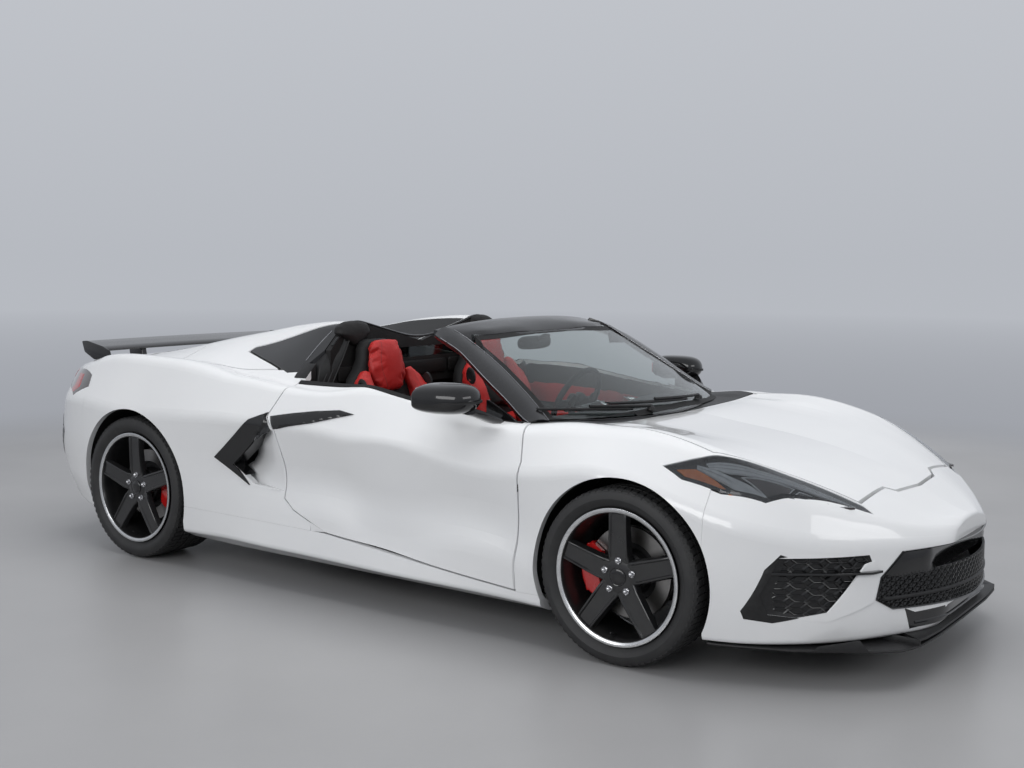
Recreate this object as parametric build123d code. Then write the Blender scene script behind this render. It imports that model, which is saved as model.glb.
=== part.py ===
"""Mid-engined two-seat roadster with its folding roof stowed, modelled panel by panel.

Frame: millimetres, +Z up, the nose points along -Y and +X is the car's left-hand side.
The origin is on the ground under the middle of the overall length.
Every piece of bodywork is cut from one pair of lofts: the outer surface of the body and the
same surface set in by the wall thickness. Both are lofts of a short table of half sections.
"""
import math
import os

from build123d import *

# ---------------------------------------------------------------- driving dimensions
body_length = 4630
half_width = 967
wheelbase = 2722
front_overhang = 980
wall = 28
shut_gap = 6
seam = 0.6
seat_clearance = 0.3
rest_clearance = 0.9
liner_clearance = 5
splitter_top = 150

# wheels and tyres
front_track_half = 824
rear_track_half = 793
front_tyre_radius, front_tyre_width, front_rim_radius, front_rim_width = 327, 245, 241, 216
rear_tyre_radius, rear_tyre_width, rear_rim_radius, rear_rim_width = 345.5, 305, 254, 279
front_arch_radius = 364
rear_arch_radius = 385
front_well_radius = 392
rear_well_radius = 391

# places worked out from the driving dimensions
nose_y = -body_length / 2
tail_y = body_length / 2
front_axle_y = nose_y + front_overhang
rear_axle_y = front_axle_y + wheelbase
REFERENCE = {"nose": nose_y, "front": front_axle_y, "rear": rear_axle_y, "tail": tail_y}

# ---------------------------------------------------------------- body sections
# Half sections of the body, nose to tail. Each row: what the station is measured from, how far
# behind it, then (distance in from the widest side, height) of the floor edge, sill edge, rocker
# crease, side scoop, shoulder crease, wing crest, gutter and deck crease, then the height on the
# centreline.
SECTIONS = [
    ("nose", 0, (827, 350), (797, 362), (782, 400), (777, 435), (777, 470), (802, 500), (832, 508), (867, 515), 520),
    ("nose", 45, (687, 158), (632, 172), (622, 250), (622, 360), (627, 478), (682, 522), (747, 535), (807, 543), 548),
    ("nose", 115, (547, 152), (492, 168), (477, 250), (477, 360), (482, 487), (537, 545), (627, 560), (717, 572), 578),
    ("nose", 215, (407, 145), (347, 162), (332, 250), (327, 360), (332, 500), (392, 592), (527, 612), (657, 628), 632),
    ("front", -625, (277, 140), (212, 155), (197, 250), (192, 370), (197, 522), (277, 665), (437, 682), (597, 692), 690),
    ("front", -445, (167, 135), (107, 150), (92, 250), (82, 380), (92, 560), (212, 750), (377, 752), (537, 750), 738),
    ("front", -225, (117, 130), (52, 150), (37, 250), (27, 400), (37, 630), (192, 822), (347, 806), (497, 793), 777),
    ("front", 0, (107, 130), (42, 150), (27, 250), (19, 420), (27, 690), (192, 856), (337, 836), (477, 818), 805),
    ("front", 230, (112, 130), (47, 155), (32, 260), (32, 430), (37, 690), (182, 853), (317, 838), (467, 828), 820),
    ("front", 440, (117, 130), (42, 165), (32, 310), (57, 450), (42, 660), (147, 835), (287, 832), (447, 830), 825),
    ("front", 850, (117, 130), (22, 175), (42, 335), (82, 470), (37, 680), (152, 852), (267, 862), (467, 905), 890),
    ("rear", -1387, (117, 130), (22, 180), (47, 355), (92, 490), (32, 710), (152, 905), (207, 930), (467, 1090), 990),
    ("rear", -1037, (117, 130), (22, 185), (47, 370), (82, 500), (22, 735), (108, 884), (167, 895), (467, 1180), 1062),
    ("rear", -867, (117, 130), (22, 187), (42, 375), (62, 510), (14, 738), (106, 903), (180, 905), (477, 1178), 1052),
    ("rear", -687, (117, 130), (27, 190), (32, 380), (42, 520), (9, 740), (105, 925), (197, 915), (497, 1158), 1035),
    ("rear", -517, (120, 132), (30, 185), (24, 360), (25, 510), (4, 736), (107, 952), (225, 935), (504, 1128), 1014),
    ("rear", -337, (122, 135), (32, 180), (17, 340), (12, 500), (2, 730), (109, 980), (247, 955), (512, 1095), 1000),
    ("rear", 0, (127, 140), (37, 170), (12, 300), (2, 480), (0, 720), (117, 996), (277, 948), (527, 1030), 965),
    ("rear", 300, (147, 150), (67, 180), (32, 320), (17, 500), (19, 740), (140, 984), (307, 935), (547, 975), 945),
    ("rear", 560, (217, 190), (137, 220), (92, 340), (72, 500), (77, 740), (192, 922), (347, 925), (567, 940), 930),
    ("tail", -188, (307, 240), (237, 270), (177, 380), (152, 500), (177, 720), (277, 885), (387, 903), (587, 915), 915),
    ("tail", -68, (467, 330), (387, 350), (312, 420), (287, 510), (317, 710), (407, 855), (487, 875), (627, 890), 893),
    ("tail", 0, (767, 440), (707, 450), (667, 470), (647, 520), (667, 680), (727, 800), (787, 828), (847, 838), 845),
]
# how far each corner above is rounded along its two sides
CORNER_EASE = (20, 15, 30, 60, 30, 60, 20, 70)
# how much of an inset the first rows from each end move along the car
END_SHARE = {0: 1.0, 1: 0.6, 2: 0.2}


# ---------------------------------------------------------------- small helpers
def block(x0, x1, y0, y1, z0, z1):
    """A box between two corners."""
    return Pos((x0 + x1) / 2, (y0 + y1) / 2, (z0 + z1) / 2) * Box(x1 - x0, y1 - y0, z1 - z0)


def polygon(points):
    return Wire.make_polygon([Vector(*p) for p in points], close=True)


def prism(points, axis, low, high, grow=0.0):
    """A prism of a flat outline along one axis. The outline's points are (y, z) for axis "x",
    (x, z) for "y" and (x, y) for "z"; grow sets the outline out on every side."""
    place = {"x": lambda a, b: (low, a, b), "y": lambda a, b: (a, low, b), "z": lambda a, b: (a, b, low)}[axis]
    along = {"x": Vector(1, 0, 0), "y": Vector(0, 1, 0), "z": Vector(0, 0, 1)}[axis]
    face = Face(polygon([place(a, b) for a, b in points]))
    if grow:
        face = offset(face, amount=grow, kind=Kind.INTERSECTION).face()
    return Solid.extrude(face, along * (high - low))


def disc(radius, x0, x1, y, z):
    """A cylinder along X between x0 and x1, centred at y, z."""
    return Pos((x0 + x1) / 2, y, z) * Rot(0, 90, 0) * Cylinder(radius, x1 - x0)


def upright(radius, x, y, z0, z1):
    """A vertical cylinder between two heights."""
    return Pos(x, y, (z0 + z1) / 2) * Cylinder(radius, z1 - z0)


def mirrored(shape):
    return mirror(shape, about=Plane.YZ)


def pair(shape):
    """A left-hand piece and its right-hand twin in one node."""
    return Compound(list(shape.solids()) + list(mirrored(shape).solids()))


def whole(shape):
    """A left half joined to its mirror image across the centreline."""
    return shape + mirrored(shape)


def write(name, shape):
    solids = shape.solids()
    export_step(Compound(list(solids)) if len(solids) > 1 else solids[0], f"parts/{name}.step")


# ---------------------------------------------------------------- body lofts
def eased_edges(row, inset, shift=0.0):
    """One half section, floor to roof, as lines and eased corners, set in by inset and moved
    back by shift."""
    reference, behind, *corners, top = row
    y = REFERENCE[reference] + behind + shift
    (floor, sill, rocker, scoop, shoulder, crest, gutter, deck) = corners
    shrink = [  # how the wall is taken off each corner: inwards, and down from the top or up from the floor
        (floor, 1.0, 1.0), (sill, 1.0, 1.0), (rocker, 1.0, 0.0), (scoop, 1.0, 0.0),
        (shoulder, 1.0, -0.3), (crest, 0.7, -0.8), (gutter, 0.3, -1.0), (deck, 0.0, -1.0),
    ]
    points = [Vector(half_width - d - a * inset, y, z + b * inset) for (d, z), a, b in shrink]
    points = [Vector(0, y, points[0].Z)] + points + [Vector(0, y, top - inset)]
    edges = []
    last = points[0]
    for ease, before, corner, after in zip(CORNER_EASE, points, points[1:], points[2:]):
        reach = min(ease, 0.45 * (corner - before).length, 0.45 * (corner - after).length)
        start = corner + (before - corner).normalized() * reach
        end = corner + (after - corner).normalized() * reach
        edges += [Edge.make_line(last, start), Edge.make_bezier(start, corner, end)]
        last = end
    return edges + [Edge.make_line(last, points[-1])], points[0], points[-1]


def body_loft(inset):
    """The closed left half of the body, set in by inset. The end rows move in with the sides."""
    wires = []
    for i, row in enumerate(SECTIONS):
        from_nose, from_tail = i, len(SECTIONS) - 1 - i
        shift = END_SHARE.get(from_nose, 0) * inset - END_SHARE.get(from_tail, 0) * inset
        edges, floor, roof = eased_edges(row, inset, shift)
        wires.append(Wire(edges + [Edge.make_line(roof, floor)]))
    return Solid.make_loft(wires, False)


def shell_loft(near, far):
    """The left half's wall between two insets, open at the nose and the tail."""
    wires = []
    for row in SECTIONS[1:-1]:
        outside, outer_floor, outer_roof = eased_edges(row, near)
        inside, inner_floor, inner_roof = eased_edges(row, far)
        ends = [Edge.make_line(outer_roof, inner_roof), Edge.make_line(inner_floor, outer_floor)]
        wires.append(Wire(outside + ends + inside))
    return Solid.make_loft(wires, False)


outer = body_loft(0)
inner = body_loft(wall)
skin = shell_loft(0, wall)
outer_clear = body_loft(-rest_clearance)

# ---------------------------------------------------------------- outlines of the panels
# Side outlines are (y, z), plan outlines are (x, y) and front outlines are (x, z), left half.
fender_seam_y = front_axle_y - 330
quarter_seam_y = rear_axle_y + 378
door_inner_x = 775
tub_half_width = 752
door_hinge_x = 905
door_hinge_y = front_axle_y + 485
door_hinge_radius = 38
door_rear_slant = 0.12
door_sill_rise = 14
door_front_y = door_hinge_y - door_hinge_radius
DOOR_REAR = [(108, 297), (312, 369), (372, 411), (378, 563), (398, 710), (452, 769), (424, 866), (414, 1000)]
DOOR_FRONT = [(door_front_y + 45, 1000), (door_front_y + 45, 840), (door_front_y, 700), (door_front_y, 209)]
ROCKER = [(-1000, 100), (-1000, 202), (door_front_y, 202), (112, 290), (1020, 300), (1020, 100)]
hood_rear_y = front_axle_y + 232
HOOD = [
    (-5, hood_rear_y), (700, hood_rear_y), (736, -1240), (752, -1420), (762, -1625),
    (640, -1848), (500, -2062), (262, -2064), (214, -2096), (-5, -2112),
]
LAMP = [(862, -1478), (800, -1600), (769, -1645), (648, -1866), (507, -2082), (505, -2120), (700, -1948), (790, -1842), (846, -1700), (872, -1560)]
COWL = [(-5, -1102), (700, -1102), (742, -1010), (742, -905), (745, -700), (-5, -700)]
COCKPIT = [(-5, -1000), (450, -930), (650, -830), (762, -700), (775, -600), (775, 380), (-5, 380)]
SAIL = [(505, 386), (640, 386), (740, 455), (745, 520), (622, 892), (600, 880)]
tonneau_rear_y = rear_axle_y - 75
TONNEAU = [(-5, 386), (728, 386), (728, tonneau_rear_y), (-5, tonneau_rear_y)]
trunk_front_y = tonneau_rear_y + shut_gap
TRUNK = [(-5, trunk_front_y), (728, trunk_front_y), (722, 1700), (690, 2010), (640, 2120), (500, 2175), (-5, 2200)]
TAIL_LAMP = [(900, 1771), (868, 1786), (786, 1978), (700, 2075), (640, 2130), (700, 2160), (812, 2045), (893, 1910)]
SIDE_INTAKE = [(585, 462), (812, 458), (845, 330), (828, 262), (700, 238), (575, 300), (560, 390)]
CENTRE_GRILLE = [(-5, 462), (462, 464), (545, 380), (560, 300), (500, 262), (-5, 240)]
SCOOP = [(462, 729), (550, 638), (678, 531), (646, 512), (560, 455), (384, 440), (390, 560), (408, 706)]
BLADE = [(400, 806), (551, 750), (790, 556), (580, 447), (646, 512), (678, 531), (550, 638), (466, 733), (420, 778)]


def outset(points, grow):
    """A flat outline moved out by grow on every side, keeping its corners."""
    area = sum(a[0] * b[1] - b[0] * a[1] for a, b in zip(points, points[1:] + points[:1]))
    turn = grow if area > 0 else -grow
    moved = []
    for before, at, after in zip(points[-1:] + points[:-1], points, points[1:] + points[:1]):
        lines = []
        for p, q in ((before, at), (at, after)):
            length = math.hypot(q[0] - p[0], q[1] - p[1])
            dx, dy = (q[0] - p[0]) / length, (q[1] - p[1]) / length
            lines.append((p[0] + dy * turn, p[1] - dx * turn, dx, dy))
        (ax, ay, adx, ady), (bx, by, bdx, bdy) = lines
        cross = adx * bdy - ady * bdx
        if abs(cross) < 1e-6:
            moved.append((bx, by))
            continue
        t = ((bx - ax) * bdy - (by - ay) * bdx) / cross
        moved.append((ax + adx * t, ay + ady * t))
    return moved


def plan(points, grow=0.0, low=480, high=1300):
    return prism(outset(points, grow), "z", low, high)


def side(points, grow=0.0, low=600, high=1100):
    return prism(outset(points, grow), "x", low, high)


def front_view(points, grow=0.0, low=-2400, high=-1700):
    return prism(outset(points, grow), "y", low, high)


def door_zone(grow=0.0):
    """The space of the left door. Its rear face leans in plan so that it swings out freely, and
    outboard of the hinge pins its front edge is a cylinder about them."""
    def wire(x, lift=0):
        rear = len(DOOR_REAR)
        moved = outset([(y, z + lift * (z < 300)) for y, z in DOOR_REAR + DOOR_FRONT], grow)
        return polygon([(x, y + door_rear_slant * (x - 930) * (i < rear), z) for i, (y, z) in enumerate(moved)])
    zone = Solid.make_loft([wire(door_inner_x - grow, door_sill_rise), wire(door_hinge_x)], True)
    outboard = Solid.make_loft([wire(door_hinge_x), wire(1100)], True)
    edge = upright(door_hinge_radius + grow * 1.4, door_hinge_x, door_hinge_y, 100, 1100)
    edge += block(door_hinge_x - 100, 1200, door_hinge_y, 1000, 100, 1100)
    return zone + (outboard & edge)


door_gap = door_zone(shut_gap)
rocker_gap = side(ROCKER, seam)
front_arch = disc(front_arch_radius, 500, 1100, front_axle_y, front_tyre_radius)
rear_arch = disc(rear_arch_radius, 500, 1100, rear_axle_y, rear_tyre_radius)
cockpit = plan(COCKPIT, 0, 600)


# ---------------------------------------------------------------- lid hinges
def skin_top(x, y):
    """Height of the body's outer surface above a point of the plan."""
    hits = outer.find_intersection_points(Axis((x, y, 2000), (0, 0, -1)))
    return max(point.Z for point, _ in hits)


lid_pin_radius = 4
lid_edge_radius = 10


class LidHinge:
    """A pin across a lug that stands on the body, under the lid's edge at x and edge_y. The lid
    lies towards facing (-1 ahead, +1 behind) and its edge is rounded about the pin."""

    def __init__(self, x, edge_y, facing, base_z):
        self.x, self.facing = x, facing
        self.y = edge_y + facing * lid_edge_radius
        self.z = skin_top(x, self.y) - lid_edge_radius
        low, high = sorted((self.y - facing * 5, self.y + facing * 5))
        self.lug = block(x - 5, x + 5, low, high, base_z, self.z) + disc(5, x - 5, x + 5, self.y, self.z)
        self.lug += disc(lid_pin_radius, x - 19, x + 19, self.y, self.z)
        back, front = sorted((self.y + facing * 11, self.y - facing * 40))
        self.notch = block(x - 10, x + 10, back, front, self.z - 60, self.z + 10.1)
        self.notch += disc(lid_pin_radius + seat_clearance, x - 20, x + 20, self.y, self.z)
        over, past = sorted((self.y, self.y - facing * 40))
        corner = block(-5, 800, over, past, self.z, self.z + 300)
        self.round = corner - disc(lid_edge_radius, -6, 801, self.y, self.z)


hood_hinge = LidHinge(690, hood_rear_y, -1, 740)
tonneau_hinge = LidHinge(420, tonneau_rear_y, -1, 900)
trunk_hinge = LidHinge(440, trunk_front_y, 1, 900)


def lid(zone, hinge):
    return (skin & zone) - hinge.round - hinge.notch


# ---------------------------------------------------------------- front of the car
nose_block = block(0, 1100, nose_y - 10, fender_seam_y - seam / 2, 0, 1000)
hood_gap = plan([(x + 2.5 * (x > 690 and y > -1300), y - 6 * (y < -2000)) for x, y in HOOD], shut_gap + 0.6)
lamp_gap = plan(LAMP, seam, 520)
intakes = front_view(SIDE_INTAKE) + front_view(CENTRE_GRILLE)
fascia = (outer & nose_block) - inner - block(0, 1100, -2400, -1500, 0, splitter_top + seam)
fascia = fascia - hood_gap - lamp_gap - intakes - front_arch
fascia -= block(0, 800, fender_seam_y - 5, fender_seam_y, 0, 175)  # room for the steered tyre
write("front_fascia", whole(fascia))

mesh_block = block(-1, 1100, -2300, fender_seam_y - 40, splitter_top + 20, 520)
meshes = shell_loft(wall - 14, wall - 4) & (front_view(SIDE_INTAKE, -seam) + front_view(CENTRE_GRILLE, -seam))
meshes = meshes & mesh_block
write("front_grilles", whole(meshes))

hood = lid(plan(HOOD), hood_hinge)
write("hood", whole(hood))

lamps = skin & plan(LAMP, 0, 520.6)
write("headlamps", pair(lamps))

SPLITTER = [(0, nose_y + 8), (300, nose_y + 10), (560, nose_y + 45), (640, -2180), (790, -1960), (880, -1730), (890, -1680), (700, -1680), (0, -2000)]
splitter = plan(SPLITTER, 0, splitter_top - 16, splitter_top)
tip = plan([(520, -2272), (560, -2268), (645, -2176), (620, -2160)], 0, splitter_top - 10, splitter_top + 60)
splitter += tip - outer_clear
write("front_splitter", whole(splitter))

fender_block = block(0, 1100, fender_seam_y + seam / 2, door_hinge_y + 60, 160, 1000)
cowl_gap = plan(COWL, seam, 500)
fender = (skin & fender_block) - hood_gap - lamp_gap - front_arch - rocker_gap
fender = fender - door_gap - cowl_gap - cockpit
fender = max(fender.solids(), key=lambda s: s.volume)
write("front_fenders", pair(fender))

cowl = (skin & plan(COWL, 0, 500)) - cockpit - hood_gap - door_gap
cowl = cowl + (hood_hinge.lug & block(0, 1100, -1200, -1000, 740, 900))
cowl += block(640, 720, hood_rear_y + 1, -1075, 740, 770) + block(640, 720, -1095, -1075, 740, 812)
cowl_whole = whole(cowl)
write("cowl", cowl_whole)

# ---------------------------------------------------------------- windscreen
# Sections of the glass: height, y at the centreline, radius of its bow in plan.
SCREEN = [(760, -1210, 1250), (990, -750, 1650), (1220, -290, 2300)]


def screen_slab(front, back):
    """The bowed, raked slab between two depths behind the glass face."""
    wires = []
    for z, y, radius in SCREEN:
        def arc(depth):
            bow = lambda x: Vector(x, y + depth + radius - math.sqrt(radius ** 2 - x ** 2), z)
            return Edge.make_three_point_arc(bow(-900), bow(0), bow(900)), bow(-900), bow(900)
        near, a, b = arc(front)
        far, c, d = arc(back)
        wires.append(Wire([near, Edge.make_line(b, d), far, Edge.make_line(c, a)]))
    return Solid.make_loft(wires, False)


frame_foot_z = 853
FRAME_OUT = [(-600, 1192), (-560, 1206), (560, 1206), (600, 1192), (755, 990), (788, 925), (792, 880), (792, 700), (-792, 700), (-792, 880), (-788, 925), (-755, 990)]
FRAME_IN = [(-520, 1146), (520, 1146), (668, 960), (745, 862), (790, 700), (-790, 700), (-745, 862), (-668, 960)]
slab = screen_slab(0, 74)
over_door = block(door_inner_x - shut_gap, 1100, door_front_y - shut_gap, 600, 600, frame_foot_z)
frame = slab & (front_view(FRAME_OUT, 0, -1400, 0) - front_view(FRAME_IN, 0, -1400, 0))
frame = (frame & block(0, 1100, -1400, 0, 600, 1300)) - outer_clear - over_door
frame = max(frame.solids(), key=lambda s: s.volume)
frame = whole(frame) + (block(-540, 540, -400, -300, 1150, 1186))
write("windscreen_frame", frame)
glass = screen_slab(2, 15) & front_view(FRAME_IN, -seam, -1400, 0)
glass = glass - outer_clear - mirrored(outer_clear) - block(-600, 600, -401, -299, 1149, 1187)
glass = max(glass.solids(), key=lambda s: s.volume)
write("windscreen_glass", glass)

# ---------------------------------------------------------------- doors
HINGE_HEIGHTS = (340, 600)
door = outer & door_zone()
for z in HINGE_HEIGHTS:
    door -= block(door_inner_x - 1, door_hinge_x + 12, door_front_y - 1, door_hinge_y + 18, z - 14, z + 14)
    door -= upright(6 + seat_clearance, door_hinge_x, door_hinge_y, z - 30, z + 30)
door -= prism([(-700, 360), (200, 400), (240, 620), (-720, 600)], "x", door_inner_x - 1, door_inner_x + 30)
door = max(door.solids(), key=lambda s: s.volume)
raised = body_loft(-8)
mirror_housing = prism([(-774 + 26, 880), (-560, 862), (-450, 872), (-430, 905), (-470, 945), (-600, 955), (-745, 925)], "x", 900, 1040)
mirror_housing = mirror_housing.fillet(14, mirror_housing.edges().filter_by(Axis.X))
stalk = block(840, 905, -720, -640, 810, 885) - outer_clear
stalk += block(860, 901, -700, -660, 870, 888)
stalk = max(stalk.solids(), key=lambda s: s.volume)
side_mirror = mirror_housing + stalk
for name, place in (("left", lambda s: s), ("right", mirrored)):
    write(f"door_{name}", place(door))
    write(f"mirror_{name}", place(side_mirror))

# ---------------------------------------------------------------- sides and rear
rocker = (skin & side(ROCKER, 0, tub_half_width + seam)) - front_arch - rear_arch - door_gap
rocker = max(rocker.solids(), key=lambda s: s.volume)
write("rockers", pair(rocker))

tonneau_gap = plan(TONNEAU, shut_gap, 700)
trunk_gap = plan([(x, y + 6 * (y > 2000)) for x, y in TRUNK], shut_gap + 0.6, 640)
sail_gap = plan(SAIL, seam, 700)
tail_lamp_zone = plan(TAIL_LAMP, 0, 715, 905)
quarter = skin & block(0, 1100, 200, quarter_seam_y - seam / 2, 160, 1300)
quarter = quarter - door_gap - rocker_gap - rear_arch - cockpit - side(SCOOP, 0, 860)
quarter = quarter - tonneau_gap - trunk_gap - sail_gap - plan(TAIL_LAMP, seam, 714, 906)
quarter = max(quarter.solids(), key=lambda s: s.volume)
write("quarter_panels", pair(quarter))
blade = (raised & side(BLADE, 0, 800)) - outer_clear - door_gap
blade = max(blade.solids(), key=lambda s: s.volume)
write("quarter_blades", pair(blade))
sails = (skin & plan(SAIL, 0, 700)) - door_gap
sails = max(sails.solids(), key=lambda s: s.volume)
write("sail_trims", pair(sails))

tonneau = lid(plan(TONNEAU, 0, 700) - plan(SAIL, shut_gap + 2, 690), tonneau_hinge)
tonneau = max(tonneau.solids(), key=lambda s: s.volume)
write("tonneau", whole(tonneau))
trunk = lid(plan(TRUNK, 0, 640), trunk_hinge)
trunk = max(trunk.solids(), key=lambda s: s.volume)
write("trunk_lid", whole(trunk))
wing = prism([(1925, 962), (2130, 1000), (2132, 1014), (2060, 1012), (1925, 978)], "x", -1, 678)
wing += prism([(1888, 925), (2100, 915), (2132, 1014), (2040, 1016), (1886, 960)], "x", 666, 678) - outer_clear
wing += block(400, 440, 1935, 2060, 880, 980) - outer_clear
wing = max(wing.solids(), key=lambda s: s.volume)
write("spoiler", whole(wing))

tail_block = block(0, 1100, quarter_seam_y + seam / 2, tail_y + 10, 160, 1300)
DIFFUSER = [(-1, 120), (548, 120), (548, 316), (-1, 316)]
OUTLETS = [(-1, 300), (212, 300), (222, 356), (212, 402), (-1, 402)]
rear_fascia = (outer & tail_block) - inner - trunk_gap - rear_arch - plan(TAIL_LAMP, seam, 714, 906)
rear_fascia = rear_fascia - front_view(DIFFUSER, 0, 1880, 2400) - front_view(OUTLETS, 0, 2080, 2400)
rear_fascia = max(rear_fascia.solids(), key=lambda s: s.volume)
write("rear_fascia", whole(rear_fascia))
tail_lamps = (skin & tail_lamp_zone) - trunk_gap
tail_lamps = max(tail_lamps.solids(), key=lambda s: s.volume)
write("tail_lamps", pair(tail_lamps))

# ---------------------------------------------------------------- floor, bulkheads and frame
FLOOR = [(0, -1010), (505, -1010), (590, -925), (752, -925), (752, 420), (0, 420)]
tub = plan(FLOOR, 0, 135, 163)
tub += block(0, 505, -1010, -985, 163, 785) + block(590, 640, -925, -905, 163, 760)
tub += prism([(505, -1010), (590, -925), (590, -905), (492, -1003)], "z", 163, 760)
tub += block(640, 700, -925, -895, 163, 760) + block(700, 752, -925, -820, 163, 790)
tub += block(690, 752, -830, 420, 163, 345)
tub += block(0, 105, -1000, 420, 163, 330) + block(0, 690, 395, 420, 163, 900)
tub += block(690, 735, 395, 420, 345, 880)
tub += block(330, 400, -1960, -1000, 240, 330) + block(400, 470, 415, 1880, 250, 340)
tub += block(400, 470, 1830, 2062, 340, 410)
tub += block(0, 560, -2010, -1960, 240, 420) + block(0, 560, 2060, 2110, 340, 470)
tub += block(330, 380, -1400, -1270, 200, 620) + block(400, 450, 1322, 1452, 215, 640)
tub -= disc(30, 390, 480, rear_axle_y, rear_tyre_radius)
for z in HINGE_HEIGHTS:
    tub += block(700, door_hinge_x, door_hinge_y - 10, door_hinge_y + 10, z - 8, z + 8)
    tub += upright(10, door_hinge_x, door_hinge_y, z - 8, z + 8)
    tub += upright(6, door_hinge_x, door_hinge_y, z - 26, z + 26)
tub = whole(tub)
write("tub", tub)

cross_bar = block(0, 590, tonneau_rear_y - 20, trunk_front_y + 14, 850, 900)
cross_bar += block(550, 590, tonneau_rear_y - 20, trunk_front_y + 14, 700, 850)
cross_bar += block(410, 590, tonneau_rear_y - 20, trunk_front_y + 14, 660, 700)
cross_bar += block(400, 450, tonneau_rear_y - 20, 1440, 640.6, 660)
cross_bar += tonneau_hinge.lug + trunk_hinge.lug
write("deck_crossbar", whole(cross_bar))

roll_trim = (outer & block(0, 640, 350, 380, 700, 1300)) - block(-1, 300, 340, 390, 985, 1035) - sail_gap
roll_trim = roll_trim - block(0, 700, 340, 390, 600, 860)
roll_trim = max(roll_trim.solids(), key=lambda s: s.volume) + block(0, 600, 379, 395 - seat_clearance, 865, 895)
write("roll_hoop_trim", whole(roll_trim))
write("rear_window", block(-299.4, 299.4, 362, 368, 985.6, 1034.4))

# ---------------------------------------------------------------- front and rear luggage wells
def well(x, y0, y1, z0, z1, thickness=6):
    return block(-x, x, y0, y1, z0, z1) - block(-x + thickness, x - thickness, y0 + thickness, y1 - thickness, z0 + thickness, z1 + 1)


wells = [well(330 - seat_clearance, -1900, -1130, 331, 600), well(400 - seat_clearance, 1760, 2050, 345, 780)]
write("luggage_wells", Compound([solid for one in wells for solid in one.solids()]))

# ---------------------------------------------------------------- cabin
dash = prism([(-984, 560), (-984, 780), (-905, 800), (-760, 822), (-640, 800), (-600, 735), (-690, 640), (-760, 560)], "x", -498, 498)
dash += prism([(-880, 600), (-880, 770), (-760, 800), (-640, 782), (-610, 735), (-690, 650), (-760, 600)], "x", -695, 695)
wheel_tilt = 25
wheel_centre = (385, -310, 775)
column_slope = Vector(0, -math.cos(math.radians(wheel_tilt)), -math.sin(math.radians(wheel_tilt)))
hub_end = Vector(*wheel_centre)


def along_column(start, end, radius):
    plane = Plane(origin=hub_end + column_slope * start, z_dir=column_slope)
    return extrude(plane * Circle(radius), end - start)


dash += along_column(60, 420, 30)
dash = dash - along_column(40, 110, 10 + seat_clearance)
write("dashboard", dash)
rim_plane = Plane(origin=hub_end, x_dir=(1, 0, 0), z_dir=column_slope)
steering_wheel = rim_plane * Torus(170, 15)
steering_wheel += rim_plane * Box(330, 34, 14)
steering_wheel += along_column(-16, 44, 48) + along_column(40, 100, 10)
write("steering_wheel", steering_wheel)
console_base = 330 + seat_clearance
write("console", prism([(-690, console_base), (-755, 560), (-640, 600), (-300, 540), (-60, 500), (394, 560), (394, console_base)], "x", -100, 100))

SEAT = [(-330, 230), (-360, 380), (-330, 415), (-60, 375), (60, 390), (150, 640), (240, 900), (272, 1090), (330, 1092), (348, 1060), (300, 800), (235, 560), (170, 330), (150, 230)]
seat = prism(SEAT, "x", 150, 640)
seat = seat & front_view([(120, 164), (660, 164), (660, 700), (640, 860), (560, 900), (520, 1120), (270, 1120), (230, 900), (150, 860), (120, 700)], 0, -500, 500)
seat += block(200, 590, -250, 120, 163, 240)
seat = seat - block(235, 555, -400, 40, 350, 500) + block(235, 555, -330, 60, 345, 362)
write("seat_left", seat)
write("seat_right", mirrored(seat))

# ---------------------------------------------------------------- engine, diffuser, exhausts
engine = block(-290, 290, 470, 1120, 300, 760) + block(-230, 230, 1120, 1700, 300, 560)
mount_x = 400 - seat_clearance
for y in (680, 1580):
    engine += block(-mount_x, mount_x, y, y + 60, 308, 334)
write("engine_block", engine)
diffuser = prism([(1900, 205), (2235, 300), (2235, 312), (1900, 217)], "x", -540, 540)
for x in (0, 180, 360, 520):
    diffuser += block(x - 4, x + 4, 1960, 2225, 210, 306)
    diffuser += block(-x - 4, -x + 4, 1960, 2225, 210, 306)
write("rear_diffuser", diffuser)
tips = None
for x in (70, 165):
    for sign in (1, -1):
        tube = Pos(sign * x, 2205, 355) * Rot(90, 0, 0) * (Cylinder(40, 190) - Cylinder(36, 191))
        tips = tube if tips is None else tips + tube
write("exhaust_tips", tips)

# ---------------------------------------------------------------- wheels, brakes and axles
bolt_circle = 120
wheel_bore = 67
bolt_hole = 15
spindle_radius = 30


def tyre(radius, width, rim_radius, rim_width):
    """The tyre's profile turned about the axle, centred on the origin, axle along X."""
    half, bead = width / 2, rim_width / 2 - 6
    outside = [
        (rim_radius + seam, bead - 16), (rim_radius + seam, bead - 2), (rim_radius + 16, bead), (rim_radius + 24, bead + 8),
        (radius - 42, half), (radius - 14, half - 6), (radius - 3, half - 22), (radius, half - 50),
    ]
    inside = [(radius - 16, half - 40), (rim_radius + 26, bead - 8)]
    profile = outside + [(r, -x) for r, x in reversed(outside)]
    profile += [(r, -x) for r, x in reversed(inside)] + inside
    return revolve(Face(polygon([(x, r, 0) for r, x in profile])), Axis.X, 360)


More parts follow.
